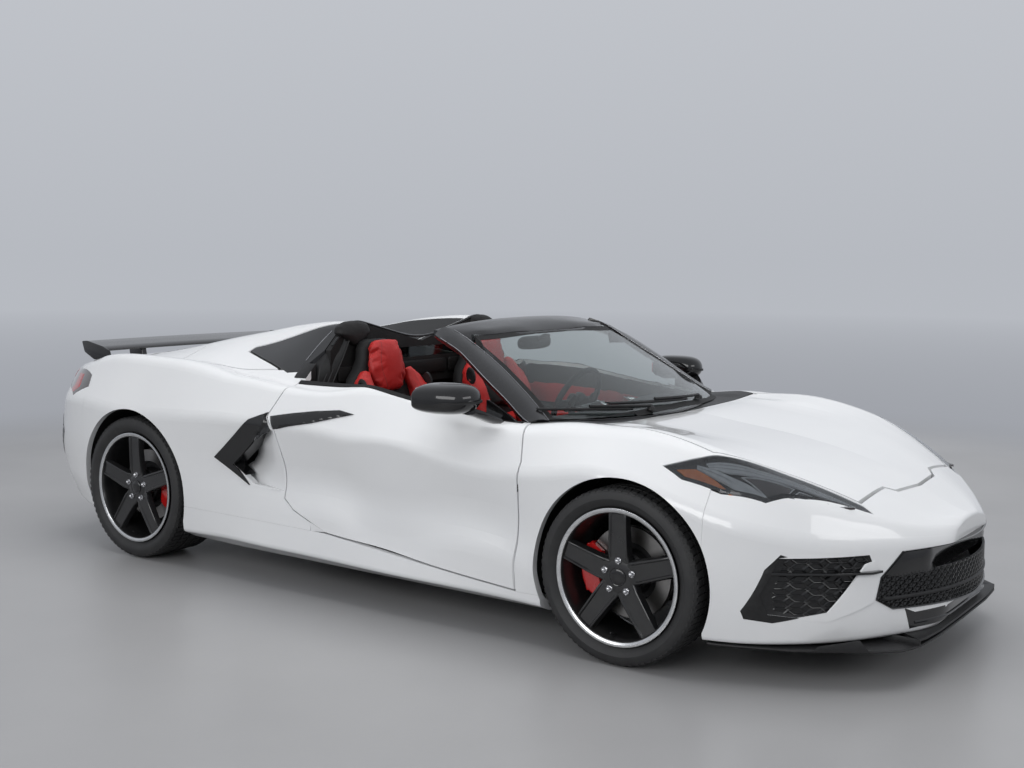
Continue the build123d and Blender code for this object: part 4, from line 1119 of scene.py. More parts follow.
def fitted(points, degree=2):
    """Least-squares y = f(x, z) through points, as a function: Gauss-Jordan on the normal equations."""
    terms = lambda x, z: [x ** i * z ** j for i in range(degree + 1) for j in range(degree + 1 - i)]
    rows = [terms(p.x, p.z) for p in points]
    size = len(rows[0])
    table = []
    for i in range(size):
        table.append([sum(r[i] * r[j] for r in rows) for j in range(size)])
        table[i].append(sum(r[i] * p.y for r, p in zip(rows, points)))
    for i in range(size):
        pivot = max(range(i, size), key=lambda k: abs(table[k][i]))
        table[i], table[pivot] = table[pivot], table[i]
        for k in range(size):
            if k != i:
                ratio = table[k][i] / table[i][i]
                table[k] = [a - ratio * b for a, b in zip(table[k], table[i])]
    factors = [table[i][size] / table[i][i] for i in range(size)]
    return lambda x, z: sum(f * t for f, t in zip(factors, terms(x, z)))


def former_sheet(name, depth_at, x0, x1, z0, z1, steps=24):
    """A curved sheet over a rectangle of the front view."""
    xs = [x0 + (x1 - x0) * i / steps for i in range(steps + 1)]
    zs = [z0 + (z1 - z0) * j / steps for j in range(steps + 1)]
    row = steps + 1
    corners = [i * row + j for i in range(steps) for j in range(steps)]
    faces = [(a, a + row, a + row + 1, a + 1) for a in corners]
    return new_piece(name, [(x, depth_at(x, z), z) for x in xs for z in zs], faces, gloss_black)


print("cell tree has", len(cell_mesh.nodes), "nodes")

# %% [markdown]
# Each side intake has a black surround, the cell mesh at the bottom of it, and a thin pointed fin
# across it. The surround is a wall between two outlines: one on the skin, one at the mesh. A black
# skirt carries it on round the nose's corner, and a white cheek closes the skin on its inner side.

# %% Side intakes
DEEPEST_HIT = 2.8  # a ray that goes further in has passed through a gap
SKIN_TO_MESH = 0.0165


def sheet_fit(ground, outline, reach, count=9):
    """A curved sheet fitted to the ground round an outline of the front view."""
    place, way = VIEWS["front"]
    xs, zs = [p[0] for p in outline], [p[1] for p in outline]
    hits = []
    for i in range(count):
        for j in range(count):
            x = min(xs) - reach + (max(xs) - min(xs) + 2 * reach) * i / (count - 1)
            z = min(zs) - reach + (max(zs) - min(zs) + 2 * reach) * j / (count - 1)
            hit = ground.ray_cast(place(x, z, 0), way)
            if hit[0] and hit[3] < DEEPEST_HIT:
                hits.append(hit[0])
    return fitted(hits)


def wall_between(name, outer, inner, depth_outer, depth_inner, material, step=0.02, back=0.004):
    """A closed wall from one outline to another with as many corners, each at its own depth."""
    near, far = paired(outer, inner, step)
    rings = [[(p.x, depth_outer(p.x, p.y), p.y) for p in near],
        [(p.x, depth_inner(p.x, p.y), p.y) for p in far]]
    rings += [[(x, y + back, z) for x, y, z in rings[1]], [(x, y + back * 2, z) for x, y, z in rings[0]]]
    return new_piece(name, [p for ring in rings for p in ring], quads(4, len(near), wrap=True), material,
        28)


INTAKE = [(0.585, 0.462), (0.812, 0.458), (0.845, 0.33), (0.828, 0.262), (0.7, 0.238), (0.575, 0.3),
    (0.56, 0.39)]
INTAKE_MOUTH = [(0.592, 0.454), (0.792, 0.45), (0.812, 0.33), (0.806, 0.272), (0.7, 0.247), (0.585, 0.305),
    (0.569, 0.39)]
grille_ground, nose_ground = surface_of("front_grilles"), surface_of("front_fascia")
intake_floor = sheet_fit(grille_ground, INTAKE, -0.01)
nose_skin_at = lambda x, z: intake_floor(x, z) - SKIN_TO_MESH


def mesh_of(name, floor, cell_size, wall, sheet, **values):
    """A mesh of cells over a rectangle of the front view. Cell and former are used up."""
    cell, former = cell_ring(*cell_size, wall, -0.0085, 0.0095), former_sheet("former", floor, *sheet)
    mesh = grown(name, cell_mesh, gloss_black, Cell=cell, Former=former, **values)
    for used in (cell, former):
        bpy.data.objects.remove(used)
    return mesh


def cut_to(piece, outline, margin):
    """Cuts a piece to an outline of the front view, straight through, one edge after another."""
    wide = inset(outline, -margin)
    shape = bmesh.new()
    shape.from_mesh(piece.data)
    for a, b in zip(wide, wide[1:] + wide[:1]):
        along = Vector((b[0] - a[0], 0, b[1] - a[1])).normalized()
        outwards = Vector((along.z, 0, -along.x)) * (1 if area_of(wide) > 0 else -1)
        cut = bmesh.ops.bisect_plane(shape, geom=shape.verts[:] + shape.edges[:] + shape.faces[:],
            dist=1e-6, plane_co=(a[0], 0, a[1]), plane_no=outwards, clear_outer=True)
        edges = [e for e in cut["geom_cut"] if isinstance(e, bmesh.types.BMEdge)]
        bmesh.ops.holes_fill(shape, edges=edges, sides=8)
    shape.to_mesh(piece.data)
    shape.free()
    return piece


long_cells = mesh_of("long_cells", intake_floor, (0.092, 0.044), 0.0022, (0.53, 0.87, 0.2, 0.5), Columns=7,
    Rows=14, Width=0.076, Height=0.0225, Middle=(0.705, 0.0, 0.35))
cut_to(long_cells, INTAKE_MOUTH, 0.004)
surround = wall_between("surround", INTAKE, INTAKE_MOUTH, lambda x, z: nose_skin_at(x, z) + 0.003,
    lambda x, z: intake_floor(x, z) - 0.004, satin_black)
FIN = [(0.836, 0.0), (0.8, -0.016), (0.7, -0.022), (0.6, -0.026), (0.552, -0.012), (0.556, 0.004),
    (0.7, 0.03), (0.836, 0.03)]
FIN_Z = 0.404
fin_rings = []
for lift, slim in ((-0.0042, 0.0015), (-0.0028, 0.0), (0.0028, 0.0), (0.0042, 0.0015)):
    rise = FIN_Z + lift
    fin_rings.append(
        [(x, nose_skin_at(x, FIN_Z) + (y + slim * (1 if y < 0 else 0)), rise + 0.004 * (x - 0.7))
        for x, y in FIN])
fin = skinned("fin", fin_rings, gloss_black, sharp=30)
skirt = laid("intake_skirt", [(0.8122, 0.4585), (0.8453, 0.33), (0.8281, 0.2615), (0.765, 0.25),
    (0.816, 0.231), (0.863, 0.242), (0.87, 0.27), (0.838, 0.418), (0.808, 0.471), (0.795, 0.464)][::-1],
    "front", nose_ground, satin_black, lift=0.0015, thick=0.004, step=0.012)
CHEEK = [(0.555, 0.392), (0.571, 0.296), (0.7, 0.2335), (0.775, 0.2475), (0.7, 0.268), (0.628, 0.392),
    (0.6, 0.432), (0.572, 0.44)]
corners, triangles, rim = filled(CHEEK, 0.012)
points = [(c.x, nose_skin_at(c.x, c.y) - 0.0015 + deep, c.y) for deep in (0.0, 0.006) for c in corners]
cheek = new_piece("intake_cheek", points, plate_faces(triangles, len(corners), rim), paint, 35)
both_sides(cheek, BODY)
intake = joined("side_intake", [surround, skirt, long_cells, fin])
both_sides(intake, BODY)
print("side intake:", len(intake.data.polygons), "faces")

# %% [markdown]
# The centre grille is one wide opening. A glossy panel closes its upper third, small cells fill the
# rest, and a black chin panel carries on below it to the splitter, a thin plate whose middle stands
# a little higher than its ends.

# %% Centre grille, chin and splitter
HALF_GRILLE = [(0.0, 0.462), (0.462, 0.464), (0.545, 0.38), (0.56, 0.3), (0.5, 0.262), (0.0, 0.24)]
GRILLE = HALF_GRILLE + [(-x, z) for x, z in HALF_GRILLE[::-1] if x]
GRILLE_MOUTH = [(x * 0.975, z - 0.006 if z > 0.4 else z + 0.007 if z < 0.29 else z) for x, z in GRILLE]
grille_floor = sheet_fit(grille_ground, [(-0.5, 0.27), (0.5, 0.27), (0.5, 0.44), (-0.5, 0.44)], 0.0, 15)
small_cells = mesh_of("small_cells", grille_floor, (0.044, 0.03), 0.0018, (-0.6, 0.6, 0.2, 0.5, 60),
    Columns=32, Rows=16, Width=0.0352, Height=0.0155, Middle=(0.0, 0.0, 0.315))
cut_to(small_cells, symmetric([(0.55, 0.385), (0.55, 0.3), (0.49, 0.266), (0.0, 0.246)]), 0.0)
mouth = wall_between("mouth", GRILLE, GRILLE_MOUTH, lambda x, z: grille_floor(x, z) - 0.0135,
    lambda x, z: grille_floor(x, z) - 0.003, gloss_black)
upper = laid("upper_panel", symmetric([(0.452, 0.458), (0.526, 0.386), (0.47, 0.372)]), "front",
    grille_ground, gloss_black, lift=0.01, thick=0.01, step=0.03, edge_lift=0.006)
BAR_Z = 0.3
BAR_SECTION = [(0.0, -0.007), (-0.008, -0.007), (-0.0125, -0.003), (-0.0125, 0.003), (-0.008, 0.007),
    (0.0, 0.007)]
bar_rings = [[(x, grille_floor(x, BAR_Z) + y, BAR_Z + z) for y, z in BAR_SECTION]
    for x in [0.53 * i / 12 for i in range(-12, 13)]]
bar = skinned("bar", bar_rings, satin_black)
CHIN = [(-0.446, 0.258), (-0.4, 0.2385), (0.4, 0.2385), (0.446, 0.258), (0.405, 0.152), (-0.405, 0.152)]
chin = laid("chin", CHIN, "front", nose_ground, gloss_black, lift=0.003, thick=0.005, step=0.03,
    edge_lift=0.0005)
LIP_SECTION = [(0.004, -0.006), (-0.004, -0.004), (-0.0055, 0.0), (-0.004, 0.004), (0.004, 0.01)]
lip_rings = []
for x in [0.4 * i / 14 for i in range(-14, 15)]:
    nose_y = nose_ground.ray_cast(Vector((x, -4, 0.215)), Vector((0, 1, 0)))[0].y
    lip_rings.append([(x, nose_y + y, 0.2 + z) for y, z in LIP_SECTION])
lip = skinned("lip", lip_rings, gloss_black)
grille_pieces = joined("centre_grille", [small_cells, mouth, upper, bar, chin, lip])
carry(grille_pieces, "body")
shade(grille_pieces, 30)

BLADE_EDGE = [(0.0, -2.307), (0.3, -2.305), (0.47, -2.292), (0.56, -2.262), (0.64, -2.18), (0.79, -1.96),
    (0.88, -1.73), (0.89, -1.682)]
MIDDLE_EDGE = [(0.0, -2.3125), (0.3, -2.3105), (0.43, -2.3), (0.475, -2.288)]


def blade_plate(name, half_edge, back_y, low, high):
    """A thin plate in plan with a rounded leading edge, given by its left half, and a straight back."""
    edge, rings = both_ways(half_edge), []
    for shrink, z in ((0.0035, low), (0.0008, low + 0.0018), (0.0, (low + high) / 2),
            (0.0008, high - 0.0018), (0.0035, high)):
        front = [(x * (1 - shrink), y + shrink, z) for x, y in edge]
        rings.append(front + [(x * 0.8, max(y + 0.02, back_y), z) for x, y in reversed(edge)])
    return skinned(name, rings, satin_black, sharp=32)


outer_blade = blade_plate("outer_blade", BLADE_EDGE, -1.69, 0.1345, 0.1435)
middle_blade = blade_plate("middle_blade", MIDDLE_EDGE, -2.15, 0.155, 0.164)
riser = slab("riser", [(-2.29, 0.136), (-2.12, 0.136), (-2.14, 0.163), (-2.29, 0.163)], "x", 0.466, 0.474,
    satin_black, edge=0.001)
fence = slab("fence", [(-2.186, 0.14), (-1.99, 0.14), (-2.01, 0.158), (-2.15, 0.182)], "x", 0.0, 0.005,
    satin_black, edge=0.001)
moved(fence, Matrix.Translation((0.648, -2.176, 0)) @ turned(-34, "Z") @ Matrix.Translation((0, 2.186, 0)))
ends = [piece for half in (riser, fence) for piece in (half, copy_of(half, "right", MIRROR))]
splitter = joined("splitter", [outer_blade, middle_blade] + ends)
carry(splitter, "body", ["front_splitter"])
shade(splitter, 30)
print("grille:", len(grille_pieces.data.polygons), "faces, splitter:", len(splitter.data.polygons))

# %% [markdown]
# Behind the door the body dives inwards to an air scoop, framed by a black hook. The hook goes on
# along the door as a tapering blade, and a bridge joins the two. The white floor of the scoop is a
# curved sheet that starts flush at the door seam and sinks towards the duct. A sill and a filler
# close its lower edge, and a near-black plate closes the duct behind it: painted shade where the
# duct runs on into the car.

# %% Door blades and side scoops
door_ground, flank = surface_of("door_left"), surface_of("quarter_panels", "door_left", "rockers")
DOOR_BLADE = [(-0.009, 0.808), (0.072, 0.82), (0.2, 0.808), (0.321, 0.791), (0.391, 0.779), (0.434, 0.771),
    (0.405, 0.716), (0.374, 0.721), (0.32, 0.735), (0.193, 0.759), (0.08, 0.787)]
door_blade = laid("door_blade", DOOR_BLADE, "side", door_ground, gloss_black, lift=0.009, thick=0.012,
    step=0.01, edge_lift=0.004, sharp=24)
both_sides(door_blade, DOORS)

SCOOP_ROWS = [(0.437, 0.372, 0.59), (0.46, 0.373, 0.625), (0.48, 0.374, 0.68), (0.5, 0.376, 0.728),
    (0.53, 0.379, 0.69), (0.565, 0.382, 0.655), (0.6, 0.385, 0.64), (0.63, 0.388, 0.64),
    (0.655, 0.391, 0.62), (0.68, 0.394, 0.585), (0.71, 0.401, 0.545), (0.735, 0.416, 0.51)]
SINK = 0.098


def skin_x(y, z):
    """The x of the body side's skin at (y, z), or 0 where there is none."""
    spot = flank.ray_cast(Vector((2, y, z)), Vector((-1, 0, 0)))[0]
    return spot.x if spot else 0.0


floor_rings = []
for z, front_y, rear_y in SCOOP_ROWS:
    front_x = max(skin_x(front_y + step, z) for step in (-0.03, -0.02, -0.01, 0.0)) - 0.004
    sink = SINK * min(1.0, max(0.0, (z - 0.437) / 0.085)) ** 0.8
    ring = []
    for i in range(17):
        share = i / 16
        y = front_y + (rear_y - front_y) * share
        ring.append((front_x - sink * share ** 1.7 - 0.001 - 0.004 * share * (sink == 0), y, z))
    floor_rings.append(ring + [(x - 0.004, y, z) for x, y, _ in reversed(ring)])
scoop_floor = skinned("scoop_floor", floor_rings, paint, sharp=40)
sill_rings = []
for y in (0.4, 0.46, 0.52, 0.56, 0.6, 0.64):
    edge_x, past = skin_x(y, 0.425) - 0.002, max(0, y - 0.52)
    sill_rings.append(
        [(edge_x, y, 0.432), (edge_x, y, 0.44 + 0.1 * past), (0.8, y, 0.46 + 0.12 * past), (0.8, y, 0.45)])
lower_wall = skinned("scoop_sill", sill_rings, paint)
# The near-black plate at the back of the duct is painted shade where the duct runs on into the car.
duct_back = slab("duct_back", [(0.42, 0.43), (0.6, 0.43), (0.73, 0.53), (0.57, 0.77), (0.41, 0.77)], "x",
    0.792, 0.797, soft_black)
HOOK_INSIDE = [(0.462, 0.729), (0.55, 0.638), (0.678, 0.531), (0.646, 0.512), (0.61, 0.488)]
lining_rings = []
for y, z in HOOK_INSIDE:
    outwards = (Vector((y, z)) - Vector((0.52, 0.58))).normalized()
    edge_x = skin_x(y + outwards.x * 0.012, z + outwards.y * 0.012) - 0.001
    inner_y, inner_z = y - outwards.x * 0.004, z - outwards.y * 0.004
    lining_rings.append(
        [(edge_x, y, z), (edge_x, inner_y, inner_z), (0.862, inner_y, inner_z), (0.862, y, z)])
lining = skinned("scoop_lining", lining_rings, gloss_black)
BRIDGE = [(0.458, 0.778), (0.48, 0.772), (0.5, 0.735), (0.52, 0.676), (0.5, 0.664), (0.462, 0.69),
    (0.43, 0.702), (0.426, 0.712), (0.445, 0.75)]
bridge = laid("hook_bridge", BRIDGE, "side", surface_of("quarter_panels", "quarter_blades"), gloss_black,
    lift=0.003, thick=0.006, step=0.01)
sill_filler = slab("sill_filler", [(0.1975, 0.3275), (0.1975, 0.29), (0.11, 0.296)], "x", 0.915,
    skin_x(0.2, 0.29) - 0.001, paint)
scoop = joined("scoop_duct", [duct_back, lining, bridge])
both_sides(joined("scoop_panel", [scoop_floor, lower_wall, sill_filler]), BODY)
both_sides(scoop, BODY)
print("scoop floor:", len(floor_rings), "cross-sections")

# %% [markdown]
# A door mirror is a glossy shell on a flat arm. The shell is a skin over rounded cross-sections:
# blunt at the front, cut straight at the back, where the glass sits in a thin rim. The arm leaves
# the door's black corner and meets the shell from below.

# %% Door mirrors
# Each row: x, then the section's front y, rear y, low z, high z.
MIRROR_ROWS = [
    (0.858, -0.64, -0.512, 0.898, 0.943),
    (0.864, -0.668, -0.492, 0.879, 0.965),
    (0.88, -0.69, -0.478, 0.867, 0.978),
    (0.915, -0.704, -0.468, 0.86, 0.984),
    (0.96, -0.702, -0.461, 0.859, 0.983),
    (1.0, -0.682, -0.457, 0.864, 0.975),
    (1.024, -0.65, -0.456, 0.874, 0.961),
    (1.036, -0.612, -0.458, 0.887, 0.944),
    (1.039, -0.575, -0.466, 0.898, 0.927),
]
SHELL_SECTION = [(0.0, 0.45), (0.02, 0.72), (0.12, 0.92), (0.32, 1.0), (0.62, 1.0), (0.86, 0.98),
    (0.97, 0.93), (1.0, 0.86), (1.0, 0.5), (1.0, 0.14), (0.97, 0.06), (0.8, 0.0), (0.5, 0.0), (0.24, 0.05),
    (0.07, 0.18)]
shell_rings = [[(x, front + (rear - front) * a, low + (high - low) * b) for a, b in SHELL_SECTION]
    for x, front, rear, low, high in MIRROR_ROWS]
shell = skinned("mirror_shell", shell_rings, gloss_black, sharp=60)
smoothed(shell, 2, 60)
BELT_SECTION = [(0.0, 0.4), (0.0, 0.47), (0.9, 0.54), (0.9, 0.49)]
belt_rings, glass_rings = [], []
for x, front, rear, low, high in MIRROR_ROWS[1:-1]:
    belt_rings.append([(x, front + (rear - front) * a - 0.0012 * (a < 0.5), low + (high - low) * b)
        for a, b in BELT_SECTION])
seam = skinned("mirror_belt", belt_rings, satin_black)
for x, _, _, low, high in MIRROR_ROWS[2:-2]:
    margin = 0.012 if 0.9 < x < 1.01 else 0.027
    low, high = low + margin, high - margin * 1.3
    glass_rings.append([(x, -0.4665, low), (x, -0.4665, high), (x, -0.4615, high), (x, -0.4615, low)])
glass = skinned("mirror_glass", glass_rings, mirror_glass)
moved(glass, Matrix.Translation((0, 0.009, 0)))
# Each row: the arm's middle x, y and z, its half width and half thickness.
ARM_ROWS = [
    (0.842, -0.715, 0.836, 0.052, 0.012), (0.862, -0.706, 0.846, 0.05, 0.012),
    (0.884, -0.694, 0.857, 0.046, 0.013), (0.905, -0.676, 0.868, 0.044, 0.015),
    (0.93, -0.655, 0.878, 0.042, 0.016),
]
ARM_SECTION = [(-1, 0), (-0.8, 0.8), (0, 1), (0.8, 0.7), (1, -0.2), (0.7, -0.8), (0, -1), (-0.7, -0.7)]
arm_rings = [[(x, y + half * u, z + thick * w) for u, w in ARM_SECTION]
    for x, y, z, half, thick in ARM_ROWS]
arm = skinned("mirror_arm", arm_rings, gloss_black, sharp=50)
both_sides(joined("door_mirror", [shell, seam, glass, arm]), DOORS,
    (("mirror_left",), ("mirror_right",)))
print("mirrors hang on", DOORS)

# %% [markdown]
# Two wipers lie at the foot of the windscreen, one behind the other. Each has an arm, a rail and a
# rubber edge that follow the glass, and a turned cap over its pivot.

# %% Wipers
glass_ground = surface_of("windscreen_glass", "cowl")


def on_glass(x, z, lift):
    """The point of the windscreen seen from the front at x and z, lifted off the glass."""
    hit = glass_ground.ray_cast(Vector((x, -4, z)), Vector((0, 1, 0)))
    return hit[0] + hit[1].normalized() * lift * (1 if hit[1].y < 0 else -1)


# Each wiper: the pivot's x, the tip's x, and the heights of the two ends.
wiper_parts = []
for pivot_x, tip_x, low, high in ((0.3, -0.36, 0.842, 0.868), (-0.18, -0.69, 0.838, 0.866)):
    line = [on_glass(pivot_x + (tip_x - pivot_x) * s, low + (high - low) * s, 0.012)
        for s in (i / 10 for i in range(11))]
    wiper_parts.append(
        tube("wiper_arm", [p + Vector((0, 0, 0.012)) for p in line[:7]], 0.0062, satin_black))
    wiper_parts.append(tube("wiper_rail", line[2:], 0.005, satin_black))
    wiper_parts.append(
        tube("wiper_rubber", [p + (on_glass(p.x, p.z, 0.003) - p) * 0.8 for p in line[2:]], 0.0028, rubber))
    cap = lathe("wiper_cap", [(0.0, 0.0), (0.0, 0.018), (0.012, 0.016), (0.018, 0.009), (0.019, 0.0)],
        satin_black, 24, closed=False)
    moved(cap, Matrix.Translation(line[0] + Vector((0, 0, -0.006))) @ turned(-90, "Y"))
    wiper_parts.append(cap)
wipers = joined("wipers", wiper_parts)
carry(wipers, "body")
print("wipers:", len(wipers.data.polygons), "faces")

# %% [markdown]
# The windscreen's frame is two skins: a header over cross-sections from side to side, and a pillar
# over cross-sections from the header's corner down to the cowl. Each pillar section runs from the
# glass out to the edge and back under it. A fine bright line follows each edge, and a black band
# printed on the glass hides where it is glued.

# %% Windscreen frame
screen = surface_of("windscreen_glass")


def above_glass(x, y, lift):
    """A point a little above the windscreen, or None beside it."""
    hit = screen.ray_cast(Vector((x, y, 2)), Vector((0, 0, -1)))[0]
    return hit + Vector((0, 0, lift)) if hit else None


HEADER = both_ways([(0.0, -0.27, 1.201), (0.1, -0.2695, 1.2005), (0.2, -0.268, 1.199), (0.3, -0.264, 1.195),
    (0.4, -0.256, 1.1885), (0.48, -0.243, 1.18), (0.54, -0.228, 1.171), (0.575, -0.217, 1.164),
    (0.59, -0.211, 1.16)])
header_rings = []
for x, y, z in HEADER:
    front = above_glass(x, y - 0.15, 0.003)
    nose = front.z if front else z - 0.064
    section = [(0, z), (0.045, z - 0.003), (0.095, z - 0.02), (0.135, nose + 0.016), (0.15, nose),
        (0.146, nose - 0.008), (0.1, z - 0.058), (0.04, z - 0.046), (0.004, z - 0.034), (-0.004, z - 0.012)]
    header_rings.append([(x, y - ahead, height) for ahead, height in section])
header = skinned("header", header_rings, carbon, sharp=50)
# Each row: the pillar's outer edge and its inner edge on the glass, from the header down.
PILLAR = [
    ((0.592, -0.216, 1.14), (0.575, -0.262, 1.176)), ((0.632, -0.28, 1.13), (0.578, -0.31, 1.163)),
    ((0.659, -0.336, 1.116), (0.58, -0.355, 1.147)),
    ((0.68, -0.419, 1.087), (0.583, -0.44, 1.101)), ((0.705, -0.5, 1.041), (0.591, -0.515, 1.059)),
    ((0.727, -0.586, 0.987), (0.604, -0.59, 1.015)), ((0.746, -0.703, 0.914), (0.637, -0.715, 0.937)),
    ((0.76, -0.761, 0.874), (0.655, -0.775, 0.899)), ((0.769, -0.809, 0.842), (0.675, -0.83, 0.862)),
    ((0.776, -0.836, 0.833), (0.697, -0.88, 0.836)),
]
swell = Vector((0.45, -0.35, 0.8)).normalized()
pillar_rings, glass_line, edge_line = [], [], []
for outer, inner in PILLAR:
    outer, inner = Vector(outer), Vector(inner)
    glass = above_glass(inner.x, inner.y, 0.003)
    if glass and inner.y < -0.4:
        inner = glass
    top_side = [inner, inner.lerp(outer, 0.3) + swell * 0.009, inner.lerp(outer, 0.7) + swell * 0.01, outer]
    underside = [outer + Vector((-0.005, 0.006, -0.01)), outer + Vector((-0.028, 0.02, -0.02)),
        inner + Vector((-0.004, 0.006, -0.03))]
    pillar_rings.append(top_side + underside)
    glass_line.append(inner + swell * 0.0015)
    edge_line.append(outer + swell * 0.001)
pillar = skinned("pillar", pillar_rings[::-1], carbon, sharp=45)
lines = [tube("edge_line", edge_line[1:], 0.0016, steel), tube("glass_line", glass_line[1:], 0.001, steel)]
half_frame = joined("screen_pillar", [pillar] + lines)
screen_frame = joined("screen_frame",
    [header, half_frame, copy_of(half_frame, "screen_pillar_right", MIRROR)])
carry(screen_frame, "body", ["windscreen_frame"])
plan_edge = [(x, y) for (_, (x, y, _)) in PILLAR[3:]]
foot_edge = both_ways([(0.0, -1.062), (0.25, -1.05), (0.45, -1.015), (0.6, -0.965)])[::-1]
glass_plan = [(x, y - 0.15) for x, y, _ in HEADER if abs(x) < 0.56] + plan_edge + foot_edge + [(-x, y)
    for x, y in plan_edge[::-1]]
frit = band("glass_band", glass_plan[::-1], 0.03, "top", screen, soft_black, lift=0.0012, thick=0.001)
carry(frit, "body")
print("frame:", len(screen_frame.data.polygons), "faces")

# %% [markdown]
# The seats are padded leather. Each pad starts as a flat outline given depth, slightly smaller than
# the finished pad. A voxel remesh makes it an even skin, cloth simulation blows it up against its
# own stretch, and a cap keeps every corner near its start. All pads are blown up together.

# %% Padding
RIM_SHARE = 0.72  # a blank's depth at its rim, as a share of its depth inside
INFLATION = 4


def seat_back_y(z):
    """Front face of the backrest at a height, from the seat's side profile."""
    rows = [(0.38, 0.06), (0.64, 0.15), (0.9, 0.236), (1.09, 0.268), (1.2, 0.275)]
    for (z0, y0), (z1, y1) in zip(rows, rows[1:]):
        if z <= z1:
            return y0 + (y1 - y0) * (z - z0) / (z1 - z0)
    return rows[-1][1]


def pad_blank(name, outline, place, depth, material):
    """A pad before it is blown up: place(u, v, w) puts a flat point at w out of the seat."""
    corners, triangles, rim = filled(outline, 0.022)
    deep = [depth(c) if callable(depth) else depth for c in corners]
    points = [place(c.x, c.y, d * (RIM_SHARE if i < rim else 1.0))
        for i, (c, d) in enumerate(zip(corners, deep))]
    points += [place(c.x, c.y, -0.006) for c in corners]
    return new_piece(name, points, plate_faces(triangles, len(corners), rim), material)


def blow_up(pads, voxel=0.0065, cap=0.022, frames=20):
    """Remeshes the pads, inflates them as cloth, caps how far a point moves and smooths once."""
    scene, starts = bpy.context.scene, []
    for pad in pads:
        even = pad.modifiers.new("even", "REMESH")
        even.mode, even.voxel_size = "VOXEL", voxel
        materials = list(pad.data.materials)
        apply_modifiers(pad)
        pad.data.materials.clear()
        for material in materials:
            pad.data.materials.append(material)
        starts.append([v.co.copy() for v in pad.data.vertices])
        cloth = pad.modifiers.new("cloth", "CLOTH")
        cloth.settings.use_pressure = True
        cloth.settings.uniform_pressure_force = INFLATION
        cloth.settings.effector_weights.gravity = 0
        cloth.settings.quality = 4
    for number in range(1, frames + 1):
        scene.frame_set(number)
    for pad, start in zip(pads, starts):
        apply_modifiers(pad)
        for vertex, origin in zip(pad.data.vertices, start):
            step = vertex.co - origin
            if step.length > cap:
                vertex.co = origin + step * (cap / step.length)
        smoothed(pad, 1, 180)
    scene.frame_set(1)


SEAT_X = 0.395
back_at = lambda u, v, w: Vector((SEAT_X + u, seat_back_y(v) - w, v + w * 0.28))
cushion_at = lambda u, v, w: Vector((SEAT_X + u, v, 0.352 + w - 0.05 * (v + 0.1)))
HEAD = symmetric([(0.07, 1.086), (0.098, 1.06), (0.112, 1.0), (0.116, 0.95), (0.104, 0.895), (0.078, 0.862),
    (0.05, 0.85)])
WING = [(0.128, 0.945), (0.16, 0.955), (0.205, 0.915), (0.236, 0.855), (0.24, 0.78), (0.226, 0.68),
    (0.228, 0.56), (0.234, 0.48), (0.15, 0.47), (0.13, 0.56), (0.122, 0.66), (0.128, 0.76), (0.132, 0.85),
    (0.126, 0.9)]
MIDDLE = symmetric([(0.108, 0.838), (0.116, 0.76), (0.11, 0.7)])
LUMBAR = symmetric([(0.106, 0.69), (0.108, 0.6), (0.12, 0.5), (0.128, 0.44)])
SQUAB = symmetric([(0.132, 0.04), (0.14, -0.12), (0.15, -0.3), (0.12, -0.335)])
THIGH = [(0.156, 0.06), (0.228, 0.06), (0.236, -0.08), (0.232, -0.23), (0.214, -0.318), (0.172, -0.322),
    (0.164, -0.25), (0.15, -0.1)]
left_wing, left_thigh = [(-u, v) for u, v in WING[::-1]], [(-u, v) for u, v in THIGH[::-1]]
wing_depth = lambda c: 0.034 + 0.045 * min(1.0, max(0.0, (0.955 - c.y) / 0.16)) * min(1.0,
    (abs(c.x) - 0.1) / 0.07)
thigh_depth = lambda c: 0.045 + 0.03 * min(1.0, (abs(c.x) - 0.14) / 0.05)
head_depth = lambda c: 0.036 + 0.012 * (1 - abs(c.x) / 0.12)
pads = [
    pad_blank("head_pad", HEAD, back_at, head_depth, red_leather),
    pad_blank("outer_wing", WING, back_at, wing_depth, red_leather),
    pad_blank("inner_wing", left_wing, back_at, wing_depth, red_leather),
    pad_blank("lumbar", LUMBAR, back_at, 0.02, red_leather),
    pad_blank("squab", SQUAB, cushion_at, 0.022, red_leather),
    pad_blank("outer_thigh", THIGH, cushion_at, thigh_depth, red_leather),
    pad_blank("inner_thigh", left_thigh, cushion_at, thigh_depth, red_leather),
    pad_blank("middle_pad", MIDDLE, back_at, 0.014, black_leather),
]
blow_up(pads)
print("pads:", {pad.name: len(pad.data.polygons) for pad in pads})

# %% [markdown]
# Under the pads is the seat's shell: a skin over level cross-sections, narrow at the headrest and
# wide at the shoulders, and a rounded base. Black discs on the wings cap the belt guides. The seams
# are rows of stitches: Geometry Nodes put a small stitch every few millimetres along a curve.

# %% Seat shells and stitches
def around(count):
    """Evenly spaced angles round a circle."""
    return [math.tau * i / count for i in range(count)]


def eased(value, power):
    """A value's size raised to a power, its sign kept: below 1 it squares a circle off."""
    return math.copysign(abs(value) ** power, value)


def level_ring(half, front, back, z, ease=0.35):
    """A rounded level cross-section of the shell."""
    middle, deep = (front + back) / 2, (back - front) / 2
    return [(SEAT_X + half * eased(math.cos(a), ease), middle + deep * eased(math.sin(a), ease * 1.6), z)
        for a in around(24)]


